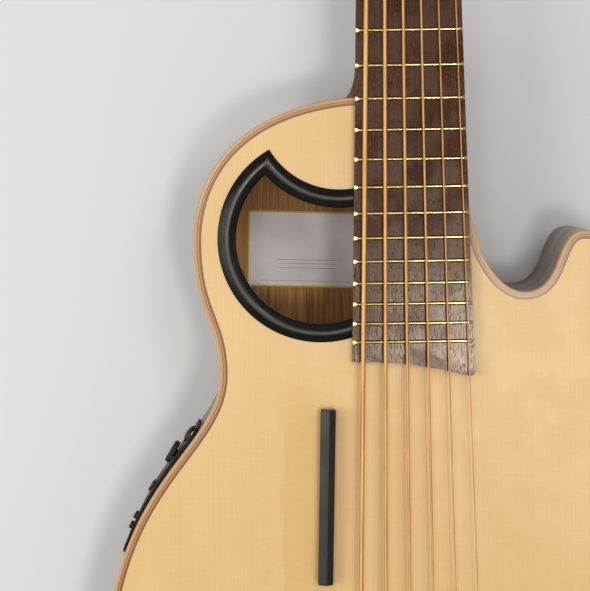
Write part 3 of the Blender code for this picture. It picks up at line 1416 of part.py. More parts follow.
def smooth_route(corners, steps):
    """A smooth curve through a route's own points."""
    points = []
    padded = [corners[0]] + list(corners) + [corners[-1]]
    for before, start, end, after in zip(padded, padded[1:], padded[2:], padded[3:]):
        for step in range(steps):
            t = step / steps
            points.append(0.5 * ((2 * start) + (end - before) * t
                                 + (2 * before - 5 * start + 4 * end - after) * t * t
                                 + (3 * start - before - 3 * end + after) * t ** 3))
    return points + [corners[-1]]


def pickup_lead_x():
    return -SADDLE_HALF + 0.004


def join_leads(strip, jack, matrix, length, front):
    """The pickup's lead to the preamp, and the jack's lead from there."""
    slot_low = TOP_Z + GAP + BRIDGE_DECK_HIGH - SADDLE_SLOT_DEEP
    x = pickup_lead_x()
    back = front - PREAMP_BOX_DEEP - 2 * GAP
    entry = matrix @ Vector((-length / 4, back, 0.004))
    before_entry = matrix @ Vector((-length / 4, back - LEAD_INTO_CASE, 0.003))
    pickup_route = [Vector((x, 0, slot_low + GAP + PICKUP_HIGH / 2)), Vector((x, 0, TOP_LOW))]
    pickup_route += [Vector((x + dx, dy, INSIDE_TOP - drop)) for dx, dy, drop in PICKUP_LEAD_DROPS]
    pickup_route += [before_entry, entry]
    leaving = matrix @ Vector((-length / 3, back, -0.012))
    after_leaving = matrix @ Vector((-length / 3, back - 0.012, -0.014))
    floor = INSIDE_LOW + LEAD_DIAMETER / 2 + GAP
    over_brace = floor + BACK_BRACE_HIGH
    jack_end = TAIL_Y + JACK_INSIDE
    jack_route = [leaving, after_leaving]
    jack_route += [Vector((x, y, over_brace + up)) for x, y, up in JACK_LEAD_OVER_BRACE]
    jack_route += [Vector((x, y, floor + up)) for x, y, up in JACK_LEAD_ON_FLOOR]
    jack_route += [Vector((JACK_LEAD_RISE[0], jack_end + JACK_LEAD_RISE[1],
                           BODY_DEPTH / 2 + JACK_LEAD_RISE[2])),
                   Vector((0, jack_end + JACK_LEAD_STRAIGHT, BODY_DEPTH / 2)),
                   Vector((0, jack_end - JACK_LEAD_SUNK, BODY_DEPTH / 2))]
    shape_with(strip, tube("pickup_lead", smooth_route(pickup_route, 3), LEAD_DIAMETER,
                            resolution=1), 'UNION')
    shape_with(jack, tube("jack_lead", smooth_route(jack_route, 3), LEAD_DIAMETER,
                           resolution=1), 'UNION')


def smooth_shading():
    for piece in GUITAR.objects:
        if piece.type == 'MESH':
            piece.data.shade_smooth()
            piece.data.set_sharp_from_angle(angle=math.radians(32))


def main():
    make_soundboard()
    make_back()
    make_bindings()
    bass_side, treble_side = make_sides()
    neck_block, tail_block = make_blocks()
    make_linings()
    braces = make_braces()
    make_soundhole_edge()
    make_label()
    make_thumb_rest()

    bridge = make_bridge()
    strip = make_saddle()
    lead_x = pickup_lead_x()
    lead_hole = rod("lead_hole", LEAD_HOLE_RADIUS, (lead_x, 0, INSIDE_TOP - 0.01),
                    (lead_x, 0, TOP_Z + BRIDGE_DECK_HIGH - SADDLE_SLOT_DEEP + 0.001), 10)
    for piece in (bridge, braces):
        cut(piece, lead_hole)

    make_neck()
    make_strap_button()
    make_truss_rod()
    make_fingerboard()
    make_nut()
    for piece in (bass_side, treble_side, neck_block):
        cut(piece, mortise())

    frame = empty("headstock_frame", HEADSTOCK_FRAME)
    make_faceplate(frame)
    for number, side, u, v in tuner_places():
        make_tuner(number, side, u, v, frame)
        make_tuner_housing(number, u, v, frame)
    make_strings()

    matrix, length = preamp_frame()
    case_front = rib_height(matrix, length / 2) - GAP
    make_preamp_panel(matrix, length)
    make_battery_door(matrix)
    make_preamp_box(matrix, length, case_front, bass_side)
    make_controls(matrix, case_front)
    jack = make_output_jack()
    for piece in (bass_side, treble_side, tail_block):
        cut(piece, jack_room(JACK_RADIUS + GAP, JACK_INSIDE + 0.01))
    join_leads(strip, jack, matrix, length, case_front)
    smooth_shading()


main()
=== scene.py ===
"""The acoustic bass guitar's woods, plastic, metal and strings, over its solid model."""
import math

import bmesh
import bpy
from mathutils import Matrix, Vector
from mathutils.geometry import interpolate_bezier


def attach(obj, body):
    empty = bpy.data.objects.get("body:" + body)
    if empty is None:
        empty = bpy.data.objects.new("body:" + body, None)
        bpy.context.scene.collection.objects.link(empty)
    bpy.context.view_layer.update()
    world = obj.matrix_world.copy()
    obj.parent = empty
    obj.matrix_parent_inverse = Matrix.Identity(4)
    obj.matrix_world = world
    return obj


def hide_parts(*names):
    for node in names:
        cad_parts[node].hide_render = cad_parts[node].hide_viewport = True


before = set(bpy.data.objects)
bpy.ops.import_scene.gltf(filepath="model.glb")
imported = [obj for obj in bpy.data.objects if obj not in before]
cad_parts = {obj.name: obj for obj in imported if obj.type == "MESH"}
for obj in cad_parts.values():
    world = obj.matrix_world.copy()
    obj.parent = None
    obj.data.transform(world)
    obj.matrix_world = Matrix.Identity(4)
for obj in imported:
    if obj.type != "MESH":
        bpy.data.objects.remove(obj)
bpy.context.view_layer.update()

# Sizes of the solid model, in metres
GAP = 0.0003
SCALE_LENGTH = 0.864
FRET_COUNT = 24
STRINGS = (("low_b", 0.0033), ("e", 0.00267), ("a", 0.00216), ("d", 0.00165), ("g", 0.00114),
           ("c", 0.00081))
STRING_SPAN_SADDLE = 0.0830
STRING_SHIFT_SADDLE = 0.0018
STRING_SPACING_NUT = 0.0084
STRING_SHIFT_NUT = 0.0008
BOARD_WIDTH_NUT = 0.0533
BOARD_WIDTH_LAST_FRET = 0.0842
BOARD_THICK = 0.0065
BOARD_END_Y = 0.2022
BOARD_TREBLE_END_Y = 0.1914
BOARD_CORNER = 0.003
NUT_LONG = 0.006
NUT_HIGH = 0.0040
BODY_DEPTH = 0.100
NECK_JOINT_Y = 0.386
TAIL_Y = -0.150
CUTAWAY_WALL = (0.0465, 0.285)
CUTAWAY_BOTTOM = (0.079, 0.249)
HORN_TIP = (0.121, 0.291)
HORN_SIDE = (0.1495, 0.262)
TOP_THICK = 0.0035
BACK_THICK = 0.0032
SIDE_THICK = 0.0025
BINDING_WIDE = 0.0023
BINDING_HIGH = 0.007
PURFLING_WIDE = 0.0033
PURFLING_DEEP = 0.002
HOLE_CENTRE = (-0.0629, 0.2879)
HOLE_EDGE_RADIUS = 0.0721
BITE_CENTRE = (-0.0487, 0.3792)
BITE_EDGE_RADIUS = 0.0569
HOLE_EDGE_WIDE = 0.0128
HOLE_EDGE_OVERLAP = 0.006
HOLE_EDGE_HIGH = 0.003
HOLE_EDGE_DEEP = 0.0012
LABEL_CENTRE = (-0.0724, 0.2765)
LABEL_SIZE = (0.088, 0.0565)
LABEL_TILT = math.radians(-2.1)
LABEL_CORNER = 0.0015
LABEL_THICK = 0.0005
THUMB_REST_CENTRE = (-0.0615, 0.1082)
THUMB_REST_SIZE = (0.0106, 0.1227)
THUMB_REST_TILT = math.radians(-1.73)
THUMB_REST_HIGH = 0.0125
THUMB_REST_SHOULDER = 0.0100
THUMB_REST_UNDERCUT = 0.0035
BRIDGE_HALF = 0.086
BRIDGE_FRONT = 0.010
BRIDGE_REAR = 0.025
BRIDGE_DECK_HIGH = 0.0068
BRIDGE_RAIL_HIGH = 0.0112
BRIDGE_RAIL_HALF = 0.053
BRIDGE_RAIL_LONG = 0.013
BRIDGE_HOLE_HIGH = 0.0084
SADDLE_THICK = 0.0032
SADDLE_HALF = 0.047
SADDLE_SLOT_DEEP = 0.0045
NECK_DEPTH_NUT = 0.021
NECK_DEPTH_BODY = 0.0245
HEEL_LONG = 0.024
HEEL_CURVE_LONG = 0.052
HEEL_FOOT_HALF = 0.018
HEEL_FLARE = 0.0058
HEAD_TILT = math.radians(12)
HEAD_THICK = 0.014
HEAD_LONG = 0.188
HEAD_WIDE_HALF = 0.045
HEAD_END_HALF = 0.039
HEAD_SHOULDER = 0.032
HEAD_CROWN = 0.006
FACE_THICK = 0.0015
POST_ROW = 0.027
POST_RADIUS = 0.005
POST_WAIST = 0.0043
POST_HIGH = 0.0205
BUSHING_RADIUS = 0.0064
FLANGE_RADIUS = 0.0082
FLANGE_THICK = 0.0022
GEAR_TEETH = 16
GEAR_RADIUS = 0.0085
GEAR_TOOTH = 0.0012
GEAR_THICK = 0.005
WORM_RADIUS = 0.004
WORM_LONG = 0.012
SHAFT_RADIUS = 0.0025
PLATE_THICK = 0.0012
PLATE_HALF = 0.0145
KEY_REACH = 0.037
KEY_RADIUS = 0.0125
KEY_LOBE = 0.16
KEY_THICK = 0.0050
ROD_POCKET_HALF = 0.0055
ROD_POCKET_END = 0.020
COVER_THICK = 0.002
FRET_HALF = 0.0013
STRAP_BUTTON_HEIGHT = 0.030
STRAP_BUTTON_RADIUS = 0.0075
LEAD_DIAMETER = 0.0025
PANEL_RIM = 0.0053
PANEL_HIGH = 0.062
PANEL_THICK = 0.0020
CONTROL_ROW = 0.011
DOOR_SIZE = (0.054, 0.0215)
DOOR_ROW = -0.0165
KNOB_AT = 0.0262
KNOB_RADIUS = 0.0085
DOME_AT = 0.0432
DOME_RADIUS = 0.0068
BUTTONS_AT = (-0.0265, -0.0344)
STEM_HOLE_RADIUS = 0.0033
PANEL_SCREW_INSET = 0.0048
KNOB_MARKS_RADIUS = 0.0105
MARK_HALF = 0.00012
SLIDERS_AT = -0.0021
SLIDER_ROWS = (0.0195, 0.011, 0.0025)
SLIDER_SETTINGS = (0.0028, 0.0, -0.0028)

TOP_Z = BODY_DEPTH
TOP_LOW = TOP_Z - TOP_THICK
MIDDLE_Z = BODY_DEPTH / 2
RAIL_REAR_Y = 0.001 - BRIDGE_REAR
INSIDE_LOW = BACK_THICK + GAP
BOARD_LOW = TOP_Z + GAP
BOARD_TOP = BOARD_LOW + BOARD_THICK
STRING_LOW_NUT = BOARD_TOP + 0.0017
STRING_LOW_SADDLE = BOARD_TOP + 0.0064
NUT_REAR_Y = SCALE_LENGTH + NUT_LONG
FACE_W = GAP + FACE_THICK
FLANGE_TOP_W = FACE_W + GAP + FLANGE_THICK
PLATE_LOW_W = -HEAD_THICK - GAP - PLATE_THICK
WORM_W = PLATE_LOW_W - GAP - WORM_RADIUS
WORM_OFFSET = GEAR_RADIUS + GAP + WORM_RADIUS
HEAD_FRAME = Matrix.Translation((0, NUT_REAR_Y, TOP_Z)) @ Matrix.Rotation(-HEAD_TILT, 4, 'X')
UPRIGHT = Matrix(((1, 0, 0, 0), (0, 0, 1, 0), (0, 1, 0, 0), (0, 0, 0, 1)))


# Camera and room

def added(name, data):
    """A new object in the scene."""
    made = bpy.data.objects.new(name, data)
    bpy.context.scene.collection.objects.link(made)
    return made


def set_camera():
    """Above the upper bout, tilted and shifted a little towards the bridge."""
    camera = bpy.data.cameras.new("camera")
    camera.sensor_width = 36
    camera.lens = 123.235
    camera.shift_y = -0.09
    holder = added("camera", camera)
    holder.location = (-0.0801, 0.3467, 1.508)
    turn = Matrix.Rotation(-0.01545, 3, 'Z') @ Matrix.Rotation(math.radians(-2.47), 3, 'X')
    holder.rotation_euler = turn.to_euler()
    bpy.context.scene.camera = holder


def add_lamp(name, place, target, size, power):
    lamp = bpy.data.lights.new(name, 'AREA')
    lamp.shape = 'SQUARE'
    lamp.size = size
    lamp.energy = power
    holder = added(name, lamp)
    holder.location = place
    holder.rotation_euler = (Vector(target) - Vector(place)).to_track_quat('-Z', 'Y').to_euler()


def light_room():
    """Three lamps high up, a window on the left and a low glint from either side."""
    middle = (-0.04, 0.28, 0.1)
    add_lamp("key_lamp", (0.56, 0.80, 1.85), middle, 0.4, 5.0)
    add_lamp("upper_left", (-0.35, 0.45, 1.9), middle, 0.3, 3.4)
    add_lamp("front_lamp", (0.268, 0.020, 1.9), middle, 0.25, 7.0)
    add_lamp("left_window", (-1.2, 0.25, 1.35), middle, 1.0, 9.3)
    add_lamp("low_left", (-2.0, 0.35, 0.75), middle, 0.8, 4.5)
    add_lamp("low_right", (1.9, 0.45, 0.75), middle, 0.6, 1.6)
    world = bpy.data.worlds.new("room")
    world.use_nodes = True
    daylight = world.node_tree.nodes["Background"]
    daylight.inputs["Color"].default_value = (1, 1, 1, 1)
    daylight.inputs["Strength"].default_value = 0.36
    bpy.context.scene.world = world
    bpy.context.scene.view_settings.view_transform = 'Standard'


def lay_floor():
    mesh = bpy.data.meshes.new("floor")
    mesh.from_pydata([(-4, -4, 0), (4, -4, 0), (4, 4, 0), (-4, 4, 0)], [], [(0, 1, 2, 3)])
    mesh.transform(Matrix.Translation((0, 0, -0.0004)))
    look, tree, shader = new_look("pale_floor", roughness=0.85)
    cloud = noise(tree, object_place(tree), 3.0)
    tint(tree, shader, cloud, (224, 223, 220), (228, 227, 224))
    mesh.materials.append(look)
    floor = added("floor", mesh)


# Nodes

def node(tree, kind, wires=None, **settings):
    """A node with its settings; a wire is a socket, a node's first output, or a plain value."""
    made = tree.nodes.new(kind)
    for key, value in settings.items():
        setattr(made, key, value)
    for key, value in (wires or {}).items():
        if isinstance(value, bpy.types.Node):
            value = value.outputs[0]
        if isinstance(value, bpy.types.NodeSocket):
            tree.links.new(value, made.inputs[key])
        else:
            made.inputs[key].default_value = value
    return made


def maths(tree, operation, first, second=0.0, third=0.0):
    return node(tree, 'ShaderNodeMath', {0: first, 1: second, 2: third}, operation=operation)


def colour(red, green, blue):
    """A colour as a screen shows it, 0 to 255, made linear."""
    parts = [value / 255 for value in (red, green, blue)]
    return (*[part / 12.92 if part <= 0.04045 else ((part + 0.055) / 1.055) ** 2.4
              for part in parts], 1)


def new_look(name, roughness=0.5, metallic=0.0, coat=0.0, coat_roughness=0.12, specular=0.5):
    look = bpy.data.materials.new(name)
    look.use_nodes = True
    shader = look.node_tree.nodes["Principled BSDF"]
    shader.inputs["Roughness"].default_value = roughness
    shader.inputs["Metallic"].default_value = metallic
    shader.inputs["Coat Weight"].default_value = coat
    shader.inputs["Coat Roughness"].default_value = coat_roughness
    shader.inputs["Specular IOR Level"].default_value = specular
    return look, look.node_tree, shader


def mixed(tree, share, first, second):
    """One colour turning into another; colours are screen values or wires."""
    wires = {"Factor": share}
    for key, value in ((6, first), (7, second)):
        wires[key] = colour(*value) if isinstance(value, tuple) else value
    return node(tree, 'ShaderNodeMix', wires, data_type='RGBA').outputs[2]


def tint(tree, shader, share, first, second):
    made = mixed(tree, share, first, second)
    tree.links.new(made, shader.inputs["Base Color"])
    return made


def ramp(tree, value, low, high, to_low=0.0, to_high=1.0):
    """A value between two limits, spread smoothly to two others."""
    made = node(tree, 'ShaderNodeMapRange',
                {"Value": value, 1: low, 2: high, 3: to_low, 4: to_high},
                interpolation_type='SMOOTHSTEP')
    return made.outputs[0]


def noise(tree, place, scale=1.0, detail=2.0, roughness=0.5):
    return node(tree, 'ShaderNodeTexNoise',
                {"Vector": place, "Scale": scale, "Detail": detail, "Roughness": roughness})


def axis_of(tree, vector, axis):
    return node(tree, 'ShaderNodeSeparateXYZ', {0: vector}).outputs[axis]


def object_place(tree):
    return node(tree, 'ShaderNodeTexCoord').outputs["Object"]


def facing(tree, axis):
    """How squarely a surface looks along one axis, whichever way round."""
    looks = node(tree, 'ShaderNodeTexCoord').outputs["Normal"]
    return maths(tree, 'ABSOLUTE', axis_of(tree, looks, axis))


def surface_place(tree):
    return node(tree, 'ShaderNodeUVMap', uv_map="UVMap").outputs[0]


def stretched(tree, vector, scale, turn=(0, 0, 0)):
    return node(tree, 'ShaderNodeMapping',
                {"Vector": vector, "Scale": scale, "Rotation": turn}).outputs[0]


def bump(tree, shader, height, depth, strength=1.0):
    made = node(tree, 'ShaderNodeBump', {"Height": height, "Distance": depth, "Strength": strength})
    tree.links.new(made.outputs[0], shader.inputs["Normal"])


def new_group(name, inputs, outputs):
    group = bpy.data.node_groups.new(name, 'ShaderNodeTree')
    for label, kind, value in inputs:
        socket = group.interface.new_socket(label, in_out='INPUT', socket_type=kind)
        if value is not None:
            socket.default_value = value
    for label in outputs:
        group.interface.new_socket(label, in_out='OUTPUT', socket_type='NodeSocketFloat')
    return group, node(group, 'NodeGroupInput'), node(group, 'NodeGroupOutput')


def make_grain_group():
    """Growth lines, fibres, pores and slow changes of a wood whose grain runs along Y."""
    group, given, out = new_group(
        "wood_grain",
        [("Vector", 'NodeSocketVector', None), ("Line Spacing", 'NodeSocketFloat', 0.001),
         ("Wander", 'NodeSocketFloat', 0.004), ("Pore Length", 'NodeSocketFloat', 0.006)],
        ["Lines", "Fibres", "Pores", "Cloud"])
    place = given.outputs["Vector"]
    slow = noise(group, stretched(group, place, (9, 1.5, 9)))
    axes = node(group, 'ShaderNodeSeparateXYZ', {0: place})
    drift = maths(group, 'MULTIPLY', maths(group, 'SUBTRACT', slow, 0.5), given.outputs["Wander"])
    across = maths(group, 'ADD', maths(group, 'MULTIPLY_ADD', axes.outputs["Z"], 0.35,
                                       axes.outputs["X"]), drift)
    rings = node(group, 'ShaderNodeTexNoise',
                 {"W": maths(group, 'DIVIDE', across, given.outputs["Line Spacing"]),
                  "Scale": 1.0, "Detail": 1.5, "Roughness": 0.6}, noise_dimensions='1D')
    fibres = noise(group, stretched(group, place, (2600, 90, 2600)))
    long = maths(group, 'DIVIDE', axes.outputs["Y"], given.outputs["Pore Length"])
    pore_place = node(group, 'ShaderNodeCombineXYZ',
                      {0: maths(group, 'MULTIPLY', axes.outputs["X"], 1500), 1: long,
                       2: maths(group, 'MULTIPLY', axes.outputs["Z"], 1500)})
    pores = noise(group, pore_place, detail=1.0)
    cloud = noise(group, stretched(group, place, (15, 4, 15)))
    for label, value in (("Lines", ramp(group, rings, 0.40, 0.66)), ("Fibres", fibres.outputs[0]),
                         ("Pores", ramp(group, pores, 0.60, 0.70)),
                         ("Cloud", ramp(group, cloud, 0.3, 0.7))):
        group.links.new(value, out.inputs[label])
    return group


def make_handling_group():
    """Smudges and fine scratches from use."""
    group, given, out = new_group(
        "handling",
        [("Vector", 'NodeSocketVector', None), ("Scratch Size", 'NodeSocketFloat', 1.0)],
        ["Smudge", "Scratches"])
    place = given.outputs["Vector"]
    sized = node(group, 'ShaderNodeVectorMath', {0: place, 3: given.outputs["Scratch Size"]},
                 operation='SCALE').outputs[0]
    smudge = noise(group, place, 45.0, detail=3.0)
    both = None
    for turn in (0.5, -0.9):
        lines = noise(group, stretched(group, sized, (1700, 70, 700), (0.2, 0, turn)))
        thin = ramp(group, lines, 0.70, 0.76)
        both = maths(group, 'MAXIMUM', both, thin) if both else thin
    group.links.new(ramp(group, smudge, 0.3, 0.7), out.inputs["Smudge"])
    group.links.new(both.outputs[0], out.inputs["Scratches"])
    return group


def make_winding_group():
    """Round wire wound on a string: U runs along it and V round it, both in metres."""
    group, given, out = new_group(
        "winding", [("Vector", 'NodeSocketVector', None), ("Pitch", 'NodeSocketFloat', 0.0005),
                    ("Girth", 'NodeSocketFloat', 0.006)], ["Height", "Grooves"])
    axes = node(group, 'ShaderNodeSeparateXYZ', {0: given.outputs["Vector"]})
    turns = maths(group, 'ADD', maths(group, 'DIVIDE', axes.outputs["X"], given.outputs["Pitch"]),
                  maths(group, 'DIVIDE', axes.outputs["Y"], given.outputs["Girth"]))
    wave = maths(group, 'SINE', maths(group, 'MULTIPLY', maths(group, 'FRACT', turns), math.pi))
    group.links.new(wave.outputs[0], out.inputs["Height"])
    # The grooves output is painted shade: 1 in the hollows between the windings.
    group.links.new(ramp(group, wave, 0.0, 0.55, 1.0, 0.0), out.inputs["Grooves"])
    return group


GRAIN = make_grain_group()
HANDLING = make_handling_group()
WINDING = make_winding_group()


def placed(tree, group, vector, **values):
    made = node(tree, 'ShaderNodeGroup', node_tree=group)
    tree.links.new(vector, made.inputs["Vector"])
    for key, value in values.items():
        made.inputs[key.replace("_", " ").title()].default_value = value
    return made


# Looks

def smudged(tree, shader, worn, low, high):
    """A roughness that follows the smudges."""
    tree.links.new(ramp(tree, worn.outputs["Smudge"], 0, 1, low, high), shader.inputs["Roughness"])


TURNS = {"y": (0, 0, 0), "x": (0, 0, math.pi / 2), "z": (math.pi / 2, 0, 0)}


def wood(name, light, dark, line, pore, grain="y", spacing=0.001, wander=0.004, pore_long=0.006,
         line_share=0.4, pore_share=0.6, roughness=0.45, coat=0.0, specular=0.5, glaze=(1, 1, 1)):
    """A wood with growth lines and open pores; grain 'edge' follows the piece's own UV."""
    look, tree, shader = new_look(name, roughness, coat=coat, specular=specular)
    shader.inputs["Specular Tint"].default_value = (*glaze, 1)
    if grain == "edge":
        place = stretched(tree, surface_place(tree), (1, 1, 1), (0, 0, math.pi / 2))
    else:
        place = stretched(tree, object_place(tree), (1, 1, 1), TURNS[grain])
    parts = placed(tree, GRAIN, place, line_spacing=spacing, wander=wander, pore_length=pore_long)
    ground = mixed(tree, parts.outputs["Cloud"], dark, light)
    lined = mixed(tree, maths(tree, 'MULTIPLY', parts.outputs["Lines"], line_share), ground, line)
    fibred = mixed(tree, ramp(tree, parts.outputs["Fibres"], 0.35, 0.75, 0.0, 0.22), lined, line)
    tint(tree, shader, maths(tree, 'MULTIPLY', parts.outputs["Pores"], pore_share), fibred, pore)
    worn = placed(tree, HANDLING, place)
    smudged(tree, shader, worn, roughness - 0.05, roughness + 0.07)
    low = maths(tree, 'MULTIPLY_ADD', parts.outputs["Pores"], -pore_share, parts.outputs["Fibres"])
    bump(tree, shader, low, 0.00008, 0.6)
    return look


def spruce_look():
    """Pale straight-grained top with soft cross silk and one yellower streak on the bass side."""
    look, tree, shader = new_look("spruce_top", 0.45, coat=0.06, coat_roughness=0.25, specular=0.3)
    place = object_place(tree)
    parts = placed(tree, GRAIN, place, line_spacing=0.0012, wander=0.0035, pore_length=0.012)
    ground = mixed(tree, parts.outputs["Cloud"], (228, 188, 128), (234, 196, 137))
    wide = noise(tree, stretched(tree, place, (22, 2, 1)))
    banded = mixed(tree, ramp(tree, wide, 0.42, 0.66, 0, 0.5), ground, (224, 183, 121))
    lined = mixed(tree, maths(tree, 'MULTIPLY', parts.outputs["Lines"], 0.13), banded,
                  (204, 160, 106))
    axes = node(tree, 'ShaderNodeSeparateXYZ', {0: place})
    ragged = noise(tree, stretched(tree, place, (260, 26, 1)), detail=3.0)
    off = maths(tree, 'ABSOLUTE', maths(tree, 'ADD', axes.outputs["X"], 0.0735))
    edge = maths(tree, 'MULTIPLY_ADD', maths(tree, 'SUBTRACT', ragged, 0.5), 0.016, off)
    within = maths(tree, 'MULTIPLY', ramp(tree, edge, 0.0168, 0.0206, 1, 0),
                   ramp(tree, axes.outputs["Y"], 0.150, 0.205, 1, 0))
    streak = mixed(tree, maths(tree, 'MULTIPLY', within, 0.85), lined, (222, 179, 110))
    silk = noise(tree, stretched(tree, place, (60, 420, 1), (0, 0, 0.14)))
    flamed = mixed(tree, ramp(tree, silk, 0.54, 0.76, 0, 0.16), streak, (242, 212, 160))
    tint(tree, shader, ramp(tree, parts.outputs["Fibres"], 0.4, 0.8, 0, 0.16), flamed,
         (214, 172, 118))
    worn = placed(tree, HANDLING, place)
    smudged(tree, shader, worn, 0.34, 0.46)
    bump(tree, shader,
         maths(tree, 'MULTIPLY_ADD', parts.outputs["Lines"], 0.5, parts.outputs["Fibres"]),
         0.00004, 0.5)
    return look


def purfling_look():
    """Three thin lines side by side: the surface map's V is the distance across them."""
    look, tree, shader = new_look("purfling_lines", 0.4, coat=0.25, coat_roughness=0.18)
    place = surface_place(tree)
    across = axis_of(tree, place, "Y")
    parts = placed(tree, GRAIN, stretched(tree, place, (1, 1, 1), (0, 0, math.pi / 2)),
                   line_spacing=0.0006, wander=0.001)
    start = PURFLING_DEEP
    tan = mixed(tree, parts.outputs["Fibres"], (172, 118, 64), (194, 140, 84))
    brown = mixed(tree, parts.outputs["Fibres"], (118, 70, 32), (142, 90, 46))
    inner = ramp(tree, across, start + 0.0016, start + 0.0017)
    outer = ramp(tree, across, start + 0.0005, start + 0.0006, 1, 0)
    tint(tree, shader, maths(tree, 'MAXIMUM', inner, outer), tan, brown)
    return look


def body_look(name, grain):
    return wood(name, (126, 78, 46), (94, 54, 31), (64, 35, 20), (46, 25, 14), grain,
                spacing=0.0045,
                wander=0.03, pore_long=0.01, line_share=0.7, roughness=0.36, coat=0.35)


def back_look():
    """Two mirrored halves with a thin pale strip between them."""
    look = body_look("back_wood", "y")
    tree = look.node_tree
    shader = tree.nodes["Principled BSDF"]
    halves = node(tree, 'ShaderNodeVectorMath', {0: object_place(tree)},
                  operation='ABSOLUTE').outputs[0]
    for other in tree.nodes:
        if other.bl_idname == 'ShaderNodeMapping':
            tree.links.new(halves, other.inputs["Vector"])
    across = axis_of(tree, halves, "X")
    ground = shader.inputs["Base Color"].links[0].from_socket
    dark = mixed(tree, ramp(tree, across, 0.0020, 0.0021, 1, 0), ground, (38, 20, 11))
    inlaid = mixed(tree, ramp(tree, across, 0.0013, 0.0014, 1, 0), dark, (196, 150, 104))
    height = axis_of(tree, object_place(tree), "Z")
    inside = ramp(tree, height, BACK_THICK - 0.0004, BACK_THICK - 0.0002)
    stripes = noise(tree, stretched(tree, object_place(tree), (380, 16, 1)), detail=5.0,
                    roughness=0.65)
    striped = mixed(tree, ramp(tree, stripes, 0.34, 0.66), (158, 108, 60), (224, 166, 98))
    bare = mixed(tree, 0.7, ground, striped)
    tint(tree, shader, inside, inlaid, bare)
    tree.links.new(ramp(tree, inside, 0, 1, 0.35, 0), shader.inputs["Coat Weight"])
    tree.links.new(ramp(tree, inside, 0, 1, 0.36, 0.8), shader.inputs["Roughness"])
    return look


def plastic(name, base, worn_colour, roughness, grain=0.00002, coat=0.0, specular=0.3):
    look, tree, shader = new_look(name, roughness, coat=coat, specular=specular)
    shader.inputs["Specular Tint"].default_value = (1, 0.94, 0.86, 1)
    place = object_place(tree)
    worn = placed(tree, HANDLING, place)
    grainy = noise(tree, place, 2200.0)
    mottled = mixed(tree, maths(tree, 'MULTIPLY', worn.outputs["Smudge"], 0.5), base, worn_colour)
    tint(tree, shader, maths(tree, 'MULTIPLY', worn.outputs["Scratches"], 0.18), mottled,
         (104, 100, 94))
    smudged(tree, shader, worn, roughness - 0.06, roughness + 0.08)
    bump(tree, shader, maths(tree, 'SUBTRACT', grainy, worn.outputs["Scratches"]), grain, 0.7)
    return look


def metal(name, base, dull, roughness, brushed=(40, 2200, 2200)):
    look, tree, shader = new_look(name, roughness, metallic=1.0)
    place = object_place(tree)
    worn = placed(tree, HANDLING, place)
    lines = noise(tree, stretched(tree, place, brushed))
    tint(tree, shader, maths(tree, 'MULTIPLY', worn.outputs["Smudge"], 0.7), base, dull)
    rough = ramp(tree, maths(tree, 'MULTIPLY_ADD', lines, 0.5, maths(
        tree, 'MULTIPLY', worn.outputs["Smudge"], 0.5)), 0.2, 0.8, roughness - 0.05,
                 roughness + 0.1)
    tree.links.new(rough, shader.inputs["Roughness"])
    bump(tree, shader, maths(tree, 'SUBTRACT', lines, worn.outputs["Scratches"]), 0.00001, 0.5)
    return look


def fret_look():
    """A polished brass crown, with painted shade down both sides where the flanks face sideways."""
    look, tree, shader = new_look("fret_wire", 0.14, metallic=1.0)
    worn = placed(tree, HANDLING, object_place(tree))
    crown = mixed(tree, worn.outputs["Smudge"], (234, 202, 132), (224, 190, 118))
    # Painted shade: where the wire faces along Y, on its flanks, it turns dark brown.
    tint(tree, shader, ramp(tree, facing(tree, "Y"), 0.30, 0.62), crown, (58, 36, 14))
    smudged(tree, shader, worn, 0.15, 0.165)
    return look


def hole_edge_look():
    """Black moulding with a painted highlight: paler along its crown, where it faces straight up.
    """
    look = plastic("hole_edge_plastic", (10, 11, 10), (15, 15, 13), 0.26, specular=0.28)
    tree = look.node_tree
    shader = tree.nodes["Principled BSDF"]
    ground = shader.inputs["Base Color"].links[0].from_socket
    # Painted highlight: the crown, where the bead faces up, turns pale grey.
    tint(tree, shader, ramp(tree, facing(tree, "Z"), 0.955, 0.998, 0, 0.9), ground, (78, 78, 69))
    return look


def string_look(name, diameter):
    look, tree, shader = new_look(name, 0.42, metallic=0.65)
    place = surface_place(tree)
    wound = placed(tree, WINDING, place, pitch=0.00022 + 0.12 * diameter, girth=math.pi * diameter)
    tarnish = noise(tree, stretched(tree, object_place(tree), (300, 30, 300)), detail=3.0)
    bright = mixed(tree, ramp(tree, tarnish, 0.35, 0.7), (226, 176, 110), (208, 156, 92))
    # Painted shade: the grooves between the windings turn dark brown.
    tint(tree, shader, maths(tree, 'MULTIPLY', wound.outputs["Grooves"], 0.4), bright,
         (146, 100, 56))
    bump(tree, shader, wound.outputs["Height"], 0.00006, 0.8)
    return look


def bone_look():
    look, tree, shader = new_look("bone", 0.38, coat=0.2)
    place = object_place(tree)
    cloud = noise(tree, stretched(tree, place, (90, 90, 400)), detail=3.0)
    fine = noise(tree, place, 1800.0)
    tint(tree, shader, ramp(tree, cloud, 0.3, 0.7), (240, 232, 208), (222, 208, 176))
    bump(tree, shader, fine, 0.00002, 0.5)
    return look


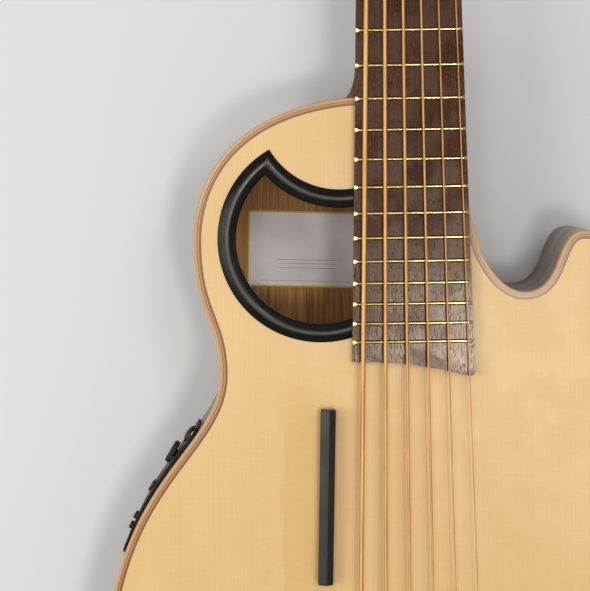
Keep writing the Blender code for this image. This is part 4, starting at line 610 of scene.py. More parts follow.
def paper_look():
    """Plain paper with a gold border and four ruled lines."""
    look, tree, shader = new_look("label_paper", 0.8)
    place = stretched(tree, object_place(tree), (1, 1, 1))
    axes = node(tree, 'ShaderNodeSeparateXYZ', {0: node(
        tree, 'ShaderNodeVectorRotate',
        {"Vector": place, "Center": (*LABEL_CENTRE, 0), "Angle": -LABEL_TILT},
        rotation_type='Z_AXIS')})
    far_x = maths(tree, 'ABSOLUTE', maths(tree, 'SUBTRACT', axes.outputs["X"], LABEL_CENTRE[0]))
    up = maths(tree, 'SUBTRACT', axes.outputs["Y"], LABEL_CENTRE[1])
    from_edge = maths(tree, 'MINIMUM', maths(tree, 'SUBTRACT', LABEL_SIZE[0] / 2, far_x),
                      maths(tree, 'SUBTRACT', LABEL_SIZE[1] / 2, maths(tree, 'ABSOLUTE', up)))
    cloud = noise(tree, place, 60.0, detail=4.0)
    sheet = mixed(tree, ramp(tree, cloud, 0.3, 0.7), (248, 240, 236), (240, 231, 226))
    gilt = mixed(tree, ramp(tree, from_edge, 0.0011, 0.0013, 1, 0), sheet, (226, 186, 60))
    inked = None
    for row, reach in ((-0.0080, 0.0215), (-0.0107, 0.0215), (-0.0140, 0.0215), (-0.0236, 0.0330)):
        off = maths(tree, 'ABSOLUTE', maths(tree, 'SUBTRACT', up, row))
        line = maths(tree, 'MULTIPLY', ramp(tree, off, 0.00014, 0.00026, 1, 0),
                     ramp(tree, far_x, reach, reach + 0.0002, 1, 0))
        inked = maths(tree, 'MAXIMUM', inked, line) if inked else line
    tint(tree, shader, maths(tree, 'MULTIPLY', inked, 0.6), gilt, (120, 108, 112))
    fibre = noise(tree, place, 900.0, detail=3.0)
    bump(tree, shader, fibre, 0.00005, 0.5)
    return look


PALE_WOOD = ((206, 170, 124), (190, 150, 104), (164, 122, 80), (136, 96, 60))
LOOKS = {
    "top": spruce_look(),
    "binding": wood("maple_binding", (210, 168, 112), (196, 151, 95), (170, 124, 76), (142, 97, 55),
                    "edge", spacing=0.0008, wander=0.002, line_share=0.35, pore_share=0.3,
                    roughness=0.4, coat=0.25),
    "purfling": purfling_look(),
    "side": body_look("side_wood", "edge"),
    "back": back_look(),
    "neck": wood("neck_wood", (112, 66, 36), (90, 50, 26), (70, 36, 18), (46, 23, 12),
                 spacing=0.003, wander=0.012, pore_long=0.005, line_share=0.5, roughness=0.5),
    "board": wood("fingerboard_wood", (76, 40, 17), (50, 23, 7), (58, 15, 4), (18, 8, 3),
                  spacing=0.0030, wander=0.014, pore_long=0.005, line_share=0.75, pore_share=0.85,
                  roughness=0.18, specular=0.38, glaze=(1.0, 0.80, 0.63)),
    "bridge": wood("bridge_wood", (84, 52, 33), (60, 35, 21), (42, 22, 12), (26, 14, 8), "x",
                   spacing=0.0028, wander=0.01, line_share=0.6, pore_share=0.75, roughness=0.42,
                   specular=0.4),
    "veneer": wood("headstock_veneer", (70, 42, 28), (50, 29, 18), (36, 19, 11), (22, 12, 7),
                   spacing=0.003, wander=0.015, line_share=0.6, roughness=0.3, coat=0.5),
    "inner": wood("inner_wood", *PALE_WOOD,
                  spacing=0.0016, line_share=0.5, pore_share=0.3, roughness=0.65),
    "inner_side": wood("lining_wood", *PALE_WOOD,
                       "z", spacing=0.0016, line_share=0.5, pore_share=0.3, roughness=0.65),
    "hole_edge": hole_edge_look(),
    "plastic": plastic("black_plastic", (17, 16, 13), (26, 23, 18), 0.38, specular=0.5),
    "satin": plastic("panel_plastic", (22, 21, 20), (28, 27, 25), 0.5, 0.00004),
    "marks": plastic("pale_marks", (206, 204, 196), (188, 186, 178), 0.5),
    "bone": bone_look(),
    "fret": fret_look(),
    "brass": metal("brass", (222, 184, 108), (190, 150, 84), 0.30),
    "steel": metal("steel", (196, 196, 198), (164, 163, 162), 0.34),
    "chrome": metal("chrome", (214, 215, 218), (186, 187, 190), 0.16),
    "paper": paper_look(),
    "battery": plastic("battery_skin", (46, 60, 92), (58, 72, 100), 0.35),
}


# Shapes

def bezier(start, start_handle, end_handle, end, steps):
    corners = [Vector((x, y, 0)) for x, y in (start, start_handle, end_handle, end)]
    return [(point.x, point.y) for point in interpolate_bezier(*corners, steps + 1)[:-1]]


def even(whole, count):
    """Even steps from nothing to the whole, both ends counted."""
    return [whole * step / count for step in range(count + 1)]


def arc(centre, radius, start, end, steps):
    angles = [start + turn for turn in even(end - start, steps)]
    return [(centre[0] + radius * math.cos(a), centre[1] + radius * math.sin(a)) for a in angles]


def circle(centre, radius, sides=32):
    return arc(centre, radius, 0, 2 * math.pi, sides)[:-1]


def rounded(half_x, half_y, corner, middle=(0, 0), steps=8):
    loop = []
    for quarter, (x, y) in enumerate(((1, 1), (-1, 1), (-1, -1), (1, -1))):
        centre = (middle[0] + x * (half_x - corner), middle[1] + y * (half_y - corner))
        loop += arc(centre, corner, quarter * math.pi / 2, (quarter + 1) * math.pi / 2, steps)
    return loop


def body_outline():
    """Neck end down the bass side to the tail, and up the treble side and round the cutaway."""
    bass, treble = (-0.0416, NECK_JOINT_Y), (0.034, NECK_JOINT_Y)
    points = bezier(bass, (bass[0] - 0.0956, bass[1] - 0.0086), (-0.152, 0.3164), (-0.152, 0.2862),
                    40)
    points += bezier((-0.152, 0.2862), (-0.152, 0.2362), (-0.135, 0.2320), (-0.135, 0.1952), 24)
    points += bezier((-0.135, 0.1952), (-0.135, 0.1378), (-0.2204, 0.1215), (-0.2204, -0.0318), 45)
    points += bezier((-0.2204, -0.0318), (-0.2204, -0.0998), (-0.126, TAIL_Y), (0, TAIL_Y), 35)
    tail = len(points)
    points += bezier((0, TAIL_Y), (0.126, TAIL_Y), (0.2204, -0.0998), (0.2204, -0.0318), 35)
    points += bezier((0.2204, -0.0318), (0.2204, 0.1215), (0.135, 0.1378), (0.135, 0.1952), 45)
    points += bezier((0.135, 0.1952), (0.135, 0.2252), (HORN_SIDE[0], HORN_SIDE[1] - 0.030),
                     HORN_SIDE, 20)
    points += bezier(HORN_SIDE, (HORN_SIDE[0], HORN_SIDE[1] + 0.018),
                     (HORN_TIP[0] + 0.012, HORN_TIP[1]), HORN_TIP, 25)
    points += bezier(HORN_TIP, (HORN_TIP[0] - 0.022, HORN_TIP[1]),
                     (CUTAWAY_BOTTOM[0] + 0.028, CUTAWAY_BOTTOM[1]), CUTAWAY_BOTTOM, 35)
    points += bezier(CUTAWAY_BOTTOM, (CUTAWAY_BOTTOM[0] - 0.016, CUTAWAY_BOTTOM[1]),
                     (CUTAWAY_WALL[0] + 0.004, CUTAWAY_WALL[1] - 0.015), CUTAWAY_WALL, 25)
    points += bezier(CUTAWAY_WALL, (CUTAWAY_WALL[0] - 0.008, CUTAWAY_WALL[1] + 0.030),
                     (treble[0], treble[1] - 0.045), treble, 15)
    return points + [treble], tail


def inset(loop, distance):
    moved = []
    for index, point in enumerate(loop):
        here = Vector(point)
        before = (here - Vector(loop[index - 1])).normalized()
        after = (Vector(loop[(index + 1) % len(loop)]) - here).normalized()
        normal = Vector((-before.y, before.x))
        bisector = (normal + Vector((-after.y, after.x))).normalized()
        moved.append(tuple(here + bisector * (distance / max(bisector.dot(normal), 0.3))))
    return moved


OUTLINE, TAIL_INDEX = body_outline()


def board_half(y):
    last = SCALE_LENGTH * 2 ** (-FRET_COUNT / 12)
    share = (SCALE_LENGTH - y) / (SCALE_LENGTH - last)
    return (BOARD_WIDTH_NUT + (BOARD_WIDTH_LAST_FRET - BOARD_WIDTH_NUT) * share) / 2


def angle_at_board(centre, radius, clearance):
    y = centre[1]
    for _ in range(30):
        x = -board_half(y) - clearance - centre[0]
        y = centre[1] - math.sqrt(max(radius ** 2 - x ** 2, 0))
    return math.atan2(y - centre[1], x)


def hole_path(shrink, clearance):
    """From the fingerboard's edge round the hole to the edge again, moved inwards by shrink."""
    round_radius, bite_radius = HOLE_EDGE_RADIUS - shrink, BITE_EDGE_RADIUS + shrink
    offset = Vector(BITE_CENTRE) - Vector(HOLE_CENTRE)
    along = (round_radius ** 2 - bite_radius ** 2 + offset.length_squared) / (2 * offset.length)
    across = math.sqrt(round_radius ** 2 - along ** 2)
    apex = (Vector(HOLE_CENTRE) + offset.normalized() * along
            + Vector((-offset.y, offset.x)).normalized() * across)
    on_round, on_bite = apex - Vector(HOLE_CENTRE), apex - Vector(BITE_CENTRE)
    bite_start = math.atan2(on_bite.y, on_bite.x)
    if bite_start > 0:
        bite_start -= 2 * math.pi
    round_side = arc(HOLE_CENTRE, round_radius,
                     angle_at_board(HOLE_CENTRE, round_radius, clearance),
                     math.atan2(on_round.y, on_round.x) - 2 * math.pi, 110)
    bite_side = arc(BITE_CENTRE, bite_radius, bite_start,
                    angle_at_board(BITE_CENTRE, bite_radius, clearance), 40)
    return round_side + bite_side[1:]


def lengths(points):
    reach = [0.0]
    for first, second in zip(points, points[1:]):
        reach.append(reach[-1] + (Vector(second) - Vector(first)).length)
    return reach


def skin(name, rings, closed=False):
    """A skin over rings of as many points, mapped in metres along and around it."""
    mesh = bpy.data.meshes.new(name)
    shape = bmesh.new()
    uv = shape.loops.layers.uv.new("UVMap")
    rows = [[shape.verts.new(point) for point in ring] for ring in rings]
    count = len(rings[0])
    along = lengths([ring[0] for ring in rings] + ([rings[0][0]] if closed else []))
    around = lengths(list(rings[len(rings) // 2]) + [rings[len(rings) // 2][0]])
    for row in range(len(rings) if closed else len(rings) - 1):
        here, there = rows[row], rows[(row + 1) % len(rows)]
        for col in range(count):
            after = (col + 1) % count
            face = shape.faces.new((here[col], here[after], there[after], there[col]))
            places = ((row, col), (row, col + 1), (row + 1, col + 1), (row + 1, col))
            for loop, (r, c) in zip(face.loops, places):
                loop[uv].uv = (along[r], around[c])
    if not closed:
        shape.faces.new(rows[0])
        shape.faces.new(rows[-1])
    bmesh.ops.remove_doubles(shape, verts=shape.verts, dist=0.000001)
    bmesh.ops.recalc_face_normals(shape, faces=shape.faces)
    shape.to_mesh(mesh)
    shape.free()
    return mesh


def edge_band(name, section):
    """A strip round the body; its section gives distances in from the edge, and heights."""
    loops = [inset(OUTLINE, distance) for distance, _ in section]
    rings = [[(*loop[index], height) for loop, (_, height) in zip(loops, section)]
             for index in range(len(OUTLINE))]
    return skin(name, rings, closed=True)


def turned(name, profile, sides=32, place=None, closed=False, ripple=None):
    """A profile of (radius, height) points turned about Z, fluted where ripple says so."""
    rings = []
    for radius, height in profile:
        ring = []
        for step in range(sides):
            angle = 2 * math.pi * step / sides
            reach = radius - (ripple(angle, radius) if ripple and radius > 0 else 0)
            ring.append((reach * math.cos(angle), reach * math.sin(angle), height))
        rings.append(ring)
    mesh = skin(name, rings, closed)
    if place:
        mesh.transform(place)
    return mesh


def worked(mesh, *steps):
    """The mesh after a list of modifiers, each a kind and its settings."""
    blank = added("blank", mesh)
    for kind, settings in steps:
        change = blank.modifiers.new(kind.title(), kind)
        for key, value in settings.items():
            setattr(change, key, value)
    return taken(blank)


def taken(source):
    """The plain mesh of an object as its modifiers leave it; the object is used up."""
    bpy.context.view_layer.update()
    graph = bpy.context.evaluated_depsgraph_get()
    mesh = bpy.data.meshes.new_from_object(source.evaluated_get(graph))
    mesh.name = source.data.name
    bpy.data.objects.remove(source)
    return mesh


def bevelled(mesh, width, segments=2, angle=40):
    return worked(mesh, ('BEVEL', {"width": width, "segments": segments, "limit_method": 'ANGLE',
                                   "angle_limit": math.radians(angle), "use_clamp_overlap": True}))


def cut_with(mesh, tool, operation='DIFFERENCE'):
    cutter = added("cutter", tool)
    made = worked(mesh, ('BOOLEAN', {"object": cutter, "operation": operation, "solver": 'EXACT'}))
    bpy.data.objects.remove(cutter)
    return made


def plate(name, loops, low, high):
    """A flat outline, with any holes as further loops, between two heights."""
    curve = bpy.data.curves.new(name, 'CURVE')
    curve.dimensions = '2D'
    curve.fill_mode = 'BOTH'
    curve.extrude = (high - low) / 2
    for loop in loops:
        spline = curve.splines.new('POLY')
        spline.points.add(len(loop) - 1)
        for point, (x, y) in zip(spline.points, loop):
            point.co = (x, y, 0, 1)
        spline.use_cyclic_u = True
    mesh = taken(added(name, curve))
    mesh.name = name
    mesh.transform(Matrix.Translation((0, 0, (low + high) / 2)))
    welded(mesh)
    return mesh


def welded(mesh):
    shape = bmesh.new()
    shape.from_mesh(mesh)
    bmesh.ops.remove_doubles(shape, verts=shape.verts, dist=0.000005)
    shape.to_mesh(mesh)
    shape.free()


def box(name, low, high, place=None):
    mesh = bpy.data.meshes.new(name)
    shape = bmesh.new()
    size = [b - a for a, b in zip(low, high)]
    middle = [(a + b) / 2 for a, b in zip(low, high)]
    bmesh.ops.create_cube(shape, size=1,
                          matrix=Matrix.Translation(middle) @ Matrix.Diagonal((*size, 1)))
    shape.to_mesh(mesh)
    shape.free()
    if place:
        mesh.transform(place)
    return mesh


def rod(name, radius, start, end, sides=24):
    start, end = Vector(start), Vector(end)
    turn = (end - start).to_track_quat('Z', 'Y').to_matrix().to_4x4()
    long = (end - start).length
    return turned(name, [(radius, 0), (radius, long)], sides, Matrix.Translation(start) @ turn)


def tube(name, points, diameter, sides=12):
    """A round tube through points, with no twist of its own."""
    points = [Vector(point) for point in points]
    ways = [(b - a).normalized() for a, b in zip(points, points[1:])]
    side = ways[0].orthogonal().normalized()
    rings, last = [], ways[0]
    for index, point in enumerate(points):
        before, after = ways[max(index - 1, 0)], ways[min(index, len(ways) - 1)]
        way = (before + after).normalized()
        side = last.rotation_difference(way) @ side
        last = way
        lift = way.cross(side)
        widen = 1 / max(way.dot(after), 0.5)
        rings.append([point + (side * math.cos(a) + lift * math.sin(a)) * diameter / 2
                      * min(widen, 1.1)
                      for a in even(2 * math.pi, sides)[:-1]])
    return skin(name, rings)


def joined(name, meshes):
    mesh = bpy.data.meshes.new(name)
    shape = bmesh.new()
    for part in meshes:
        shape.from_mesh(part)
        bpy.data.meshes.remove(part)
    shape.to_mesh(mesh)
    shape.free()
    return mesh


def placed_piece(name, mesh, look, body="guitar", stands_for=(), flat=35):
    """A finished mesh as a named piece that moves with a body."""
    mesh.materials.clear()
    mesh.materials.append(LOOKS.get(look, look) if isinstance(look, str) else look)
    mesh.shade_smooth()
    mesh.set_sharp_from_angle(angle=math.radians(flat))
    mesh = worked(mesh, ('WEIGHTED_NORMAL', {"keep_sharp": True}))
    mesh.name = name
    made = added(name, mesh)
    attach(made, body)
    if stands_for:
        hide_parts(*stands_for)
    return made


# Things that repeat

def repeat_tree(name, inputs):
    tree = bpy.data.node_groups.new(name, 'GeometryNodeTree')
    tree.interface.new_socket("Geometry", in_out='INPUT', socket_type='NodeSocketGeometry')
    for label, kind in inputs:
        tree.interface.new_socket(label, in_out='INPUT', socket_type=kind)
    tree.interface.new_socket("Geometry", in_out='OUTPUT', socket_type='NodeSocketGeometry')
    return tree, node(tree, 'NodeGroupInput'), node(tree, 'NodeGroupOutput')


def finish_tree(tree, given, out, instances):
    real = node(tree, 'GeometryNodeRealizeInstances', {0: instances})
    dressed = node(tree, 'GeometryNodeSetMaterial', {"Geometry": real,
                                                     "Material": given.outputs["Material"]})
    tree.links.new(dressed.outputs[0], out.inputs[0])
    return tree


def fret_tree():
    """One wire for each fret, as far along and as wide as the scale and the board make it."""
    tree, given, out = repeat_tree("frets", [
        ("Count", 'NodeSocketInt'), ("Scale Length", 'NodeSocketFloat'),
        ("Nut Half", 'NodeSocketFloat'),
        ("Spread", 'NodeSocketFloat'), ("Height", 'NodeSocketFloat'), ("Wire", 'NodeSocketObject'),
        ("Material", 'NodeSocketMaterial')])
    number = maths(tree, 'ADD', node(tree, 'GeometryNodeInputIndex'), 1.0)
    power = maths(tree, 'POWER', 2.0, maths(tree, 'DIVIDE', number, -12.0))
    y = maths(tree, 'MULTIPLY', power, given.outputs["Scale Length"])
    spread = maths(tree, 'MULTIPLY', maths(tree, 'SUBTRACT', given.outputs["Scale Length"], y),
                   given.outputs["Spread"])
    half = maths(tree, 'ADD', given.outputs["Nut Half"], spread)
    place = node(tree, 'ShaderNodeCombineXYZ', {1: y, 2: given.outputs["Height"]})
    points = node(tree, 'GeometryNodePoints', {"Count": given.outputs["Count"], "Position": place})
    wire = node(tree, 'GeometryNodeObjectInfo', {0: given.outputs["Wire"]})
    held = node(tree, 'GeometryNodeCaptureAttribute', {"Geometry": points})
    held.capture_items.new('FLOAT', "Half")
    tree.links.new(half.outputs[0], held.inputs["Half"])
    grow = node(tree, 'ShaderNodeCombineXYZ', {0: held.outputs["Half"], 1: 1.0, 2: 1.0})
    copies = node(tree, 'GeometryNodeInstanceOnPoints',
                  {"Points": held.outputs["Geometry"], "Instance": wire.outputs["Geometry"],
                   "Scale": grow})
    return finish_tree(tree, given, out, copies)


def on_points_tree():
    """A copy of a small piece on each point, its Z along the point's facing."""
    tree, given, out = repeat_tree("copies_on_points", [
        ("Copy", 'NodeSocketObject'), ("Material", 'NodeSocketMaterial')])
    facing = node(tree, 'GeometryNodeInputNamedAttribute', {"Name": "facing"},
                  data_type='FLOAT_VECTOR')
    turn = node(tree, 'FunctionNodeAlignRotationToVector', {"Vector": facing}, axis='Z')
    copy = node(tree, 'GeometryNodeObjectInfo', {0: given.outputs["Copy"]})
    copies = node(tree, 'GeometryNodeInstanceOnPoints',
                  {"Points": given.outputs["Geometry"], "Instance": copy.outputs["Geometry"],
                   "Rotation": turn})
    return finish_tree(tree, given, out, copies)


def grown(name, source_mesh, tree, values):
    """What a tree makes from a mesh, as a plain mesh."""
    source = added(name, source_mesh)
    change = source.modifiers.new(name, 'NODES')
    change.node_group = tree
    for item in tree.interface.items_tree:
        if item.in_out == 'INPUT' and item.name in values:
            change[item.identifier] = values[item.name]
    mesh = taken(source)
    mesh.name = name
    for item in values.values():
        if isinstance(item, bpy.types.Object):
            bpy.data.objects.remove(item)
    return mesh


def copies_at(name, small_mesh, spots, look):
    """Copies of a small piece at (place, facing) spots."""
    mesh = bpy.data.meshes.new(name)
    mesh.from_pydata([place for place, _ in spots], [], [])
    facing = mesh.attributes.new("facing", 'FLOAT_VECTOR', 'POINT')
    facing.data.foreach_set("vector", [value for _, way in spots for value in way])
    return grown(name, mesh, ON_POINTS,
                 {"Copy": added("copy", small_mesh), "Material": LOOKS[look]})


FRETS = fret_tree()
ON_POINTS = on_points_tree()


# Body

def dress_body():
    edge = BINDING_WIDE + PURFLING_WIDE
    board = plate("soundboard", [inset(OUTLINE, edge), hole_path(HOLE_EDGE_OVERLAP, -0.004)],
                  TOP_LOW, TOP_Z)
    placed_piece("spruce_top", board, "top", stands_for=["soundboard"])

    soft = 0.0007
    low = TOP_Z - BINDING_HIGH
    binding = edge_band("binding", [(0, low), (0, TOP_Z - soft), (soft * 0.3, TOP_Z - soft * 0.3),
                                    (soft, TOP_Z), (BINDING_WIDE, TOP_Z), (BINDING_WIDE, low)])
    placed_piece("edge_binding", binding, "binding", stands_for=["top_binding"])
    low = TOP_Z - PURFLING_DEEP
    lines = edge_band("purfling",
                      [(BINDING_WIDE, low), (BINDING_WIDE, TOP_Z), (edge, TOP_Z), (edge, low)])
    placed_piece("purfling", lines, "purfling", stands_for=["top_purfling"])

    inner = inset(OUTLINE, SIDE_THICK)
    low, high = INSIDE_LOW, TOP_Z - BINDING_HIGH
    for name, outer_path, inner_path in (
            ("bass_side", [(0, NECK_JOINT_Y)] + OUTLINE[:TAIL_INDEX + 1],
             [(0, NECK_JOINT_Y - SIDE_THICK)] + inner[:TAIL_INDEX + 1]),
            ("treble_side", OUTLINE[TAIL_INDEX:] + [(0, NECK_JOINT_Y)],
             inner[TAIL_INDEX:] + [(0, NECK_JOINT_Y - SIDE_THICK)])):
        rings = [[(*outer, low), (*outer, high), (*within, high), (*within, low)]
                 for outer, within in zip(outer_path, inner_path)]
        rib = skin(name, rings)
        if name == "bass_side":
            half_x, half_z = PANEL_LENGTH / 2 - PANEL_RIM, PANEL_HIGH / 2 - PANEL_RIM
            rib = cut_with(rib, box("opening", (-half_x, -0.03, -half_z), (half_x, 0.03, half_z),
                                    PREAMP_FRAME))
        placed_piece(name + "_rib", rib, "side", stands_for=[name])

    back = bevelled(plate("back", [OUTLINE], 0, BACK_THICK), 0.0012, 3, 60)
    placed_piece("back_with_strip", back, "back", stands_for=["back_plate"])


def dress_hole():
    """A rounded black bead round the hole, with a lip down through the top."""
    low = TOP_Z + GAP
    high = low + HOLE_EDGE_HIGH
    wide = HOLE_EDGE_WIDE
    section = [(0, low), (0, low + 0.0003)]
    for step in range(-9, 10):
        side = math.copysign(abs(step / 10) ** 1.3, step)
        section.append((wide * (1 + side) / 2,
                        low + 0.0004 + (high - low - 0.0004) * (1 - abs(side) ** 1.6)))
    lip = TOP_LOW - HOLE_EDGE_DEEP
    section += [(wide, low), (wide, lip + 0.0006), (wide - 0.0006, lip),
                (HOLE_EDGE_OVERLAP + GAP, lip), (HOLE_EDGE_OVERLAP + GAP, low)]
    paths = [hole_path(shrink, GAP) for shrink, _ in section]
    rings = [[(*path[index], height) for path, (_, height) in zip(paths, section)]
             for index in range(len(paths[0]))]
    placed_piece("hole_bead", skin("hole_bead", rings), "hole_edge", stands_for=["soundhole_edge"])


def dress_label():
    loop = rounded(LABEL_SIZE[0] / 2, LABEL_SIZE[1] / 2, LABEL_CORNER, steps=4)
    label = plate("label", [loop], INSIDE_LOW, INSIDE_LOW + LABEL_THICK)
    label.transform(Matrix.Translation((*LABEL_CENTRE, 0)) @ Matrix.Rotation(LABEL_TILT, 4, 'Z'))
    placed_piece("label", label, "paper", stands_for=["inside_label"])


def dress_thumb_rest():
    """A bar whose top slopes both ways from a ridge, on a foot at each end."""
    half, reach = THUMB_REST_SIZE[0] / 2, THUMB_REST_SIZE[1] / 2
    soft, foot_long, foot_in = 0.0009, 0.0195, 0.0004
    section = [(half, THUMB_REST_SHOULDER - soft),
               (half - soft * 0.3, THUMB_REST_SHOULDER - soft * 0.25),
               (half - soft, THUMB_REST_SHOULDER), (half * 0.22, THUMB_REST_HIGH - 0.0001),
               (half * 0.1, THUMB_REST_HIGH), (-half * 0.02, THUMB_REST_HIGH - 0.0001),
               (-half + soft, THUMB_REST_SHOULDER + soft),
               (-half + soft * 0.3, THUMB_REST_SHOULDER + soft * 0.6),
               (-half, THUMB_REST_SHOULDER - soft * 0.3)]
    low = THUMB_REST_UNDERCUT
    ends = ((-reach, 0.90), (-reach + 0.0004, 0.97), (-reach + 0.0012, 1),
            (reach - 0.0012, 1), (reach - 0.0004, 0.97), (reach, 0.90))
    rings = [[(x * share, at, low + (z - low) * (0.5 + share / 2))
              for x, z in section + [(-half, low), (half, low)]] for at, share in ends]
    bar = skin("thumb_rest", rings)
    feet = [box("foot", (-half * 0.92, side * reach - (foot_long if side > 0 else -foot_in), 0),
                (half * 0.92, side * reach + (foot_long if side < 0 else -foot_in), low + 0.001))
            for side in (-1, 1)]
    rest = joined("thumb_rest", [bar] + [bevelled(foot, 0.0004) for foot in feet])
    rest.transform(Matrix.Translation((*THUMB_REST_CENTRE, TOP_Z + GAP))
                   @ Matrix.Rotation(THUMB_REST_TILT, 4, 'Z'))
    placed_piece("thumb_bar", rest, "plastic", stands_for=["thumb_rest"])


# Bridge and strings

def string_x(number, at_nut):
    """Even centres at the nut, and even gaps between the strings at the saddle."""
    if at_nut:
        return STRING_SHIFT_NUT + (number - 2.5) * STRING_SPACING_NUT
    widths = [diameter for _, diameter in STRINGS]
    steps = [(a + b) / 2 for a, b in zip(widths, widths[1:])]
    space = (STRING_SPAN_SADDLE - sum(steps)) / 5
    return STRING_SHIFT_SADDLE - STRING_SPAN_SADDLE / 2 + sum(steps[:number]) + number * space


def dress_bridge():
    low = TOP_Z + GAP
    wing = BRIDGE_RAIL_HALF + 0.006
    corner = 0.006
    front, rear = BRIDGE_FRONT - 0.003, -BRIDGE_REAR + 0.004
    right = bezier((wing, -BRIDGE_REAR), (wing + 0.010, -BRIDGE_REAR), (BRIDGE_HALF - 0.018, rear),
                   (BRIDGE_HALF - corner, rear), 12)
    right += arc((BRIDGE_HALF - corner, rear + corner), corner, -math.pi / 2, 0, 10)
    right += arc((BRIDGE_HALF - corner, front - corner), corner, 0, math.pi / 2, 10)
    right += bezier((BRIDGE_HALF - corner, front), (BRIDGE_HALF - 0.018, front),
                    (wing + 0.010, BRIDGE_FRONT), (wing, BRIDGE_FRONT),
                    12)[1:] + [(wing, BRIDGE_FRONT)]
    deck = plate("bridge", [right + [(-x, y) for x, y in reversed(right)]], low,
                 low + BRIDGE_DECK_HIGH)
    deck = bevelled(deck, 0.0014, 3, 60)
    rail = bevelled(box("rail", (-BRIDGE_RAIL_HALF, RAIL_REAR_Y, low + 0.002),
                        (BRIDGE_RAIL_HALF, RAIL_REAR_Y + BRIDGE_RAIL_LONG, low + BRIDGE_RAIL_HIGH)),
                    0.0014, 3)
    deck = cut_with(deck, rail, 'UNION')
    slot_low = low + BRIDGE_DECK_HIGH - SADDLE_SLOT_DEEP
    slot = box("slot", (-SADDLE_HALF - GAP, -SADDLE_THICK / 2 - GAP, slot_low),
               (SADDLE_HALF + GAP, SADDLE_THICK / 2 + GAP, low + 2 * BRIDGE_DECK_HIGH))
    tools = [rod("hole", diameter / 2 + 2 * GAP,
                 (string_x(number, False), -0.05, low + BRIDGE_HOLE_HIGH),
                 (string_x(number, False), -SADDLE_THICK / 2 - GAP, low + BRIDGE_HOLE_HIGH))
             for number, (_, diameter) in enumerate(STRINGS)]
    deck = cut_with(cut_with(deck, slot), joined("holes", tools))
    placed_piece("bridge_block", deck, "bridge", stands_for=["bridge"])

    bottom, top, half = slot_low + 2 * GAP + 0.0012, STRING_LOW_SADDLE - GAP, SADDLE_THICK / 2
    crown = [(half * math.cos(a), top - half * 0.6 + half * 0.6 * math.sin(a))
             for a in even(math.pi, 8)]
    rings = []
    for x, share in ((-SADDLE_HALF, 0.8), (-SADDLE_HALF + 0.0005, 1), (SADDLE_HALF - 0.0005, 1),
                     (SADDLE_HALF, 0.8)):
        rings.append([(x, y * share, bottom + (z - bottom) * (0.9 + share / 10))
                      for y, z in crown + [(-half, bottom), (half, bottom)]])
    placed_piece("bone_saddle", skin("saddle", rings), "bone", stands_for=["saddle"])


def tuner_places():
    """Number, side and post centre for each tuner, from the thickest string to the thinnest."""
    steps = ((0, -1, 0), (1, -1, 1), (2, -1, 2), (3, 1, 2), (4, 1, 1), (5, 1, 0))
    return [(number, side, side * POST_ROW, 0.046 + 0.050 * step) for number, side, step in steps]


def string_entry(number, side, u, v):
    """From the nut into two turns round the post, and a straight end, in the headstock's frame."""
    diameter = STRINGS[number][1]
    nut_exit = HEAD_FRAME.inverted() @ Vector((string_x(number, True), NUT_REAR_Y,
                                               STRING_LOW_NUT + diameter / 2))
    radius = POST_WAIST + GAP + diameter / 2
    offset = Vector((nut_exit.x - u, nut_exit.y - v))
    start = math.atan2(offset.y, offset.x) - side * math.acos(radius / offset.length)
    base_w = FLANGE_TOP_W + 0.0006 + diameter / 2
    pitch = diameter + 0.0008
    wrap = []
    for step in range(2 * 36 + 1):
        angle = start - side * 2 * math.pi * step / 36
        wrap.append(Vector((u + radius * math.cos(angle), v + radius * math.sin(angle),
                            base_w + pitch * step / 36)))
    end = start - side * 4 * math.pi
    along = Vector((math.sin(end), -math.cos(end), 0)) * side
    leads = [wrap[0].lerp(nut_exit, share / 4 * 0.4) for share in range(4, 0, -1)]
    return [nut_exit] + leads + wrap + [wrap[-1] + along * diameter]


def dress_strings():
    low = TOP_Z + GAP + BRIDGE_HOLE_HIGH
    ball_y = RAIL_REAR_Y - GAP - 0.0029
    balls = []
    for number, side, u, v in tuner_places():
        name, diameter = STRINGS[number]
        x, x_nut = string_x(number, False), string_x(number, True)
        path = [(x, ball_y + 0.0012, low), (x, RAIL_REAR_Y + BRIDGE_RAIL_LONG + 0.001, low),
                (x, -SADDLE_THICK / 2 - GAP, STRING_LOW_SADDLE + diameter / 2),
                (x, SADDLE_THICK / 2, STRING_LOW_SADDLE + diameter / 2),
                (x_nut, SCALE_LENGTH, STRING_LOW_NUT + diameter / 2)]
        path += [HEAD_FRAME @ point for point in string_entry(number, side, u, v)]
        placed_piece("wound_string_" + name, tube(name, path, diameter, 16),
                     string_look("bronze_" + name, diameter), stands_for=["string_" + name],
                     flat=60)
        profile = [(0.0011, -0.0018), (0.0026, -0.0018), (0.0029, -0.0015), (0.0023, -0.0008),
                   (0.0023, 0.0008), (0.0029, 0.0015), (0.0026, 0.0018), (0.0011, 0.0018)]
        balls.append(turned("ball", profile, 20, Matrix.Translation((x, ball_y, low))
                            @ Matrix.Rotation(math.pi / 2, 4, 'Y'), closed=True))
    placed_piece("string_ball_ends", joined("string_ball_ends", balls), "brass")


# Neck

def neck_section(y, bass, treble, top, depth, foot):
    angles = even(math.pi / 2, 14)
    left = [(-(foot + (bass - foot) * math.cos(a)), y, top - depth * math.sin(a)) for a in angles]
    return left + [(foot + (treble - foot) * math.cos(a), y, top - depth * math.sin(a))
                   for a in reversed(angles)]


def strap_button_place():
    """On the flat cut into the heel's treble face."""
    y = NECK_JOINT_Y + HEEL_LONG / 2
    foot = HEEL_FOOT_HALF * 0.9
    angle = math.asin((TOP_Z - STRAP_BUTTON_HEIGHT) / TOP_Z)
    return foot + (board_half(y) - foot) * math.cos(angle) - 0.003, y, STRAP_BUTTON_HEIGHT


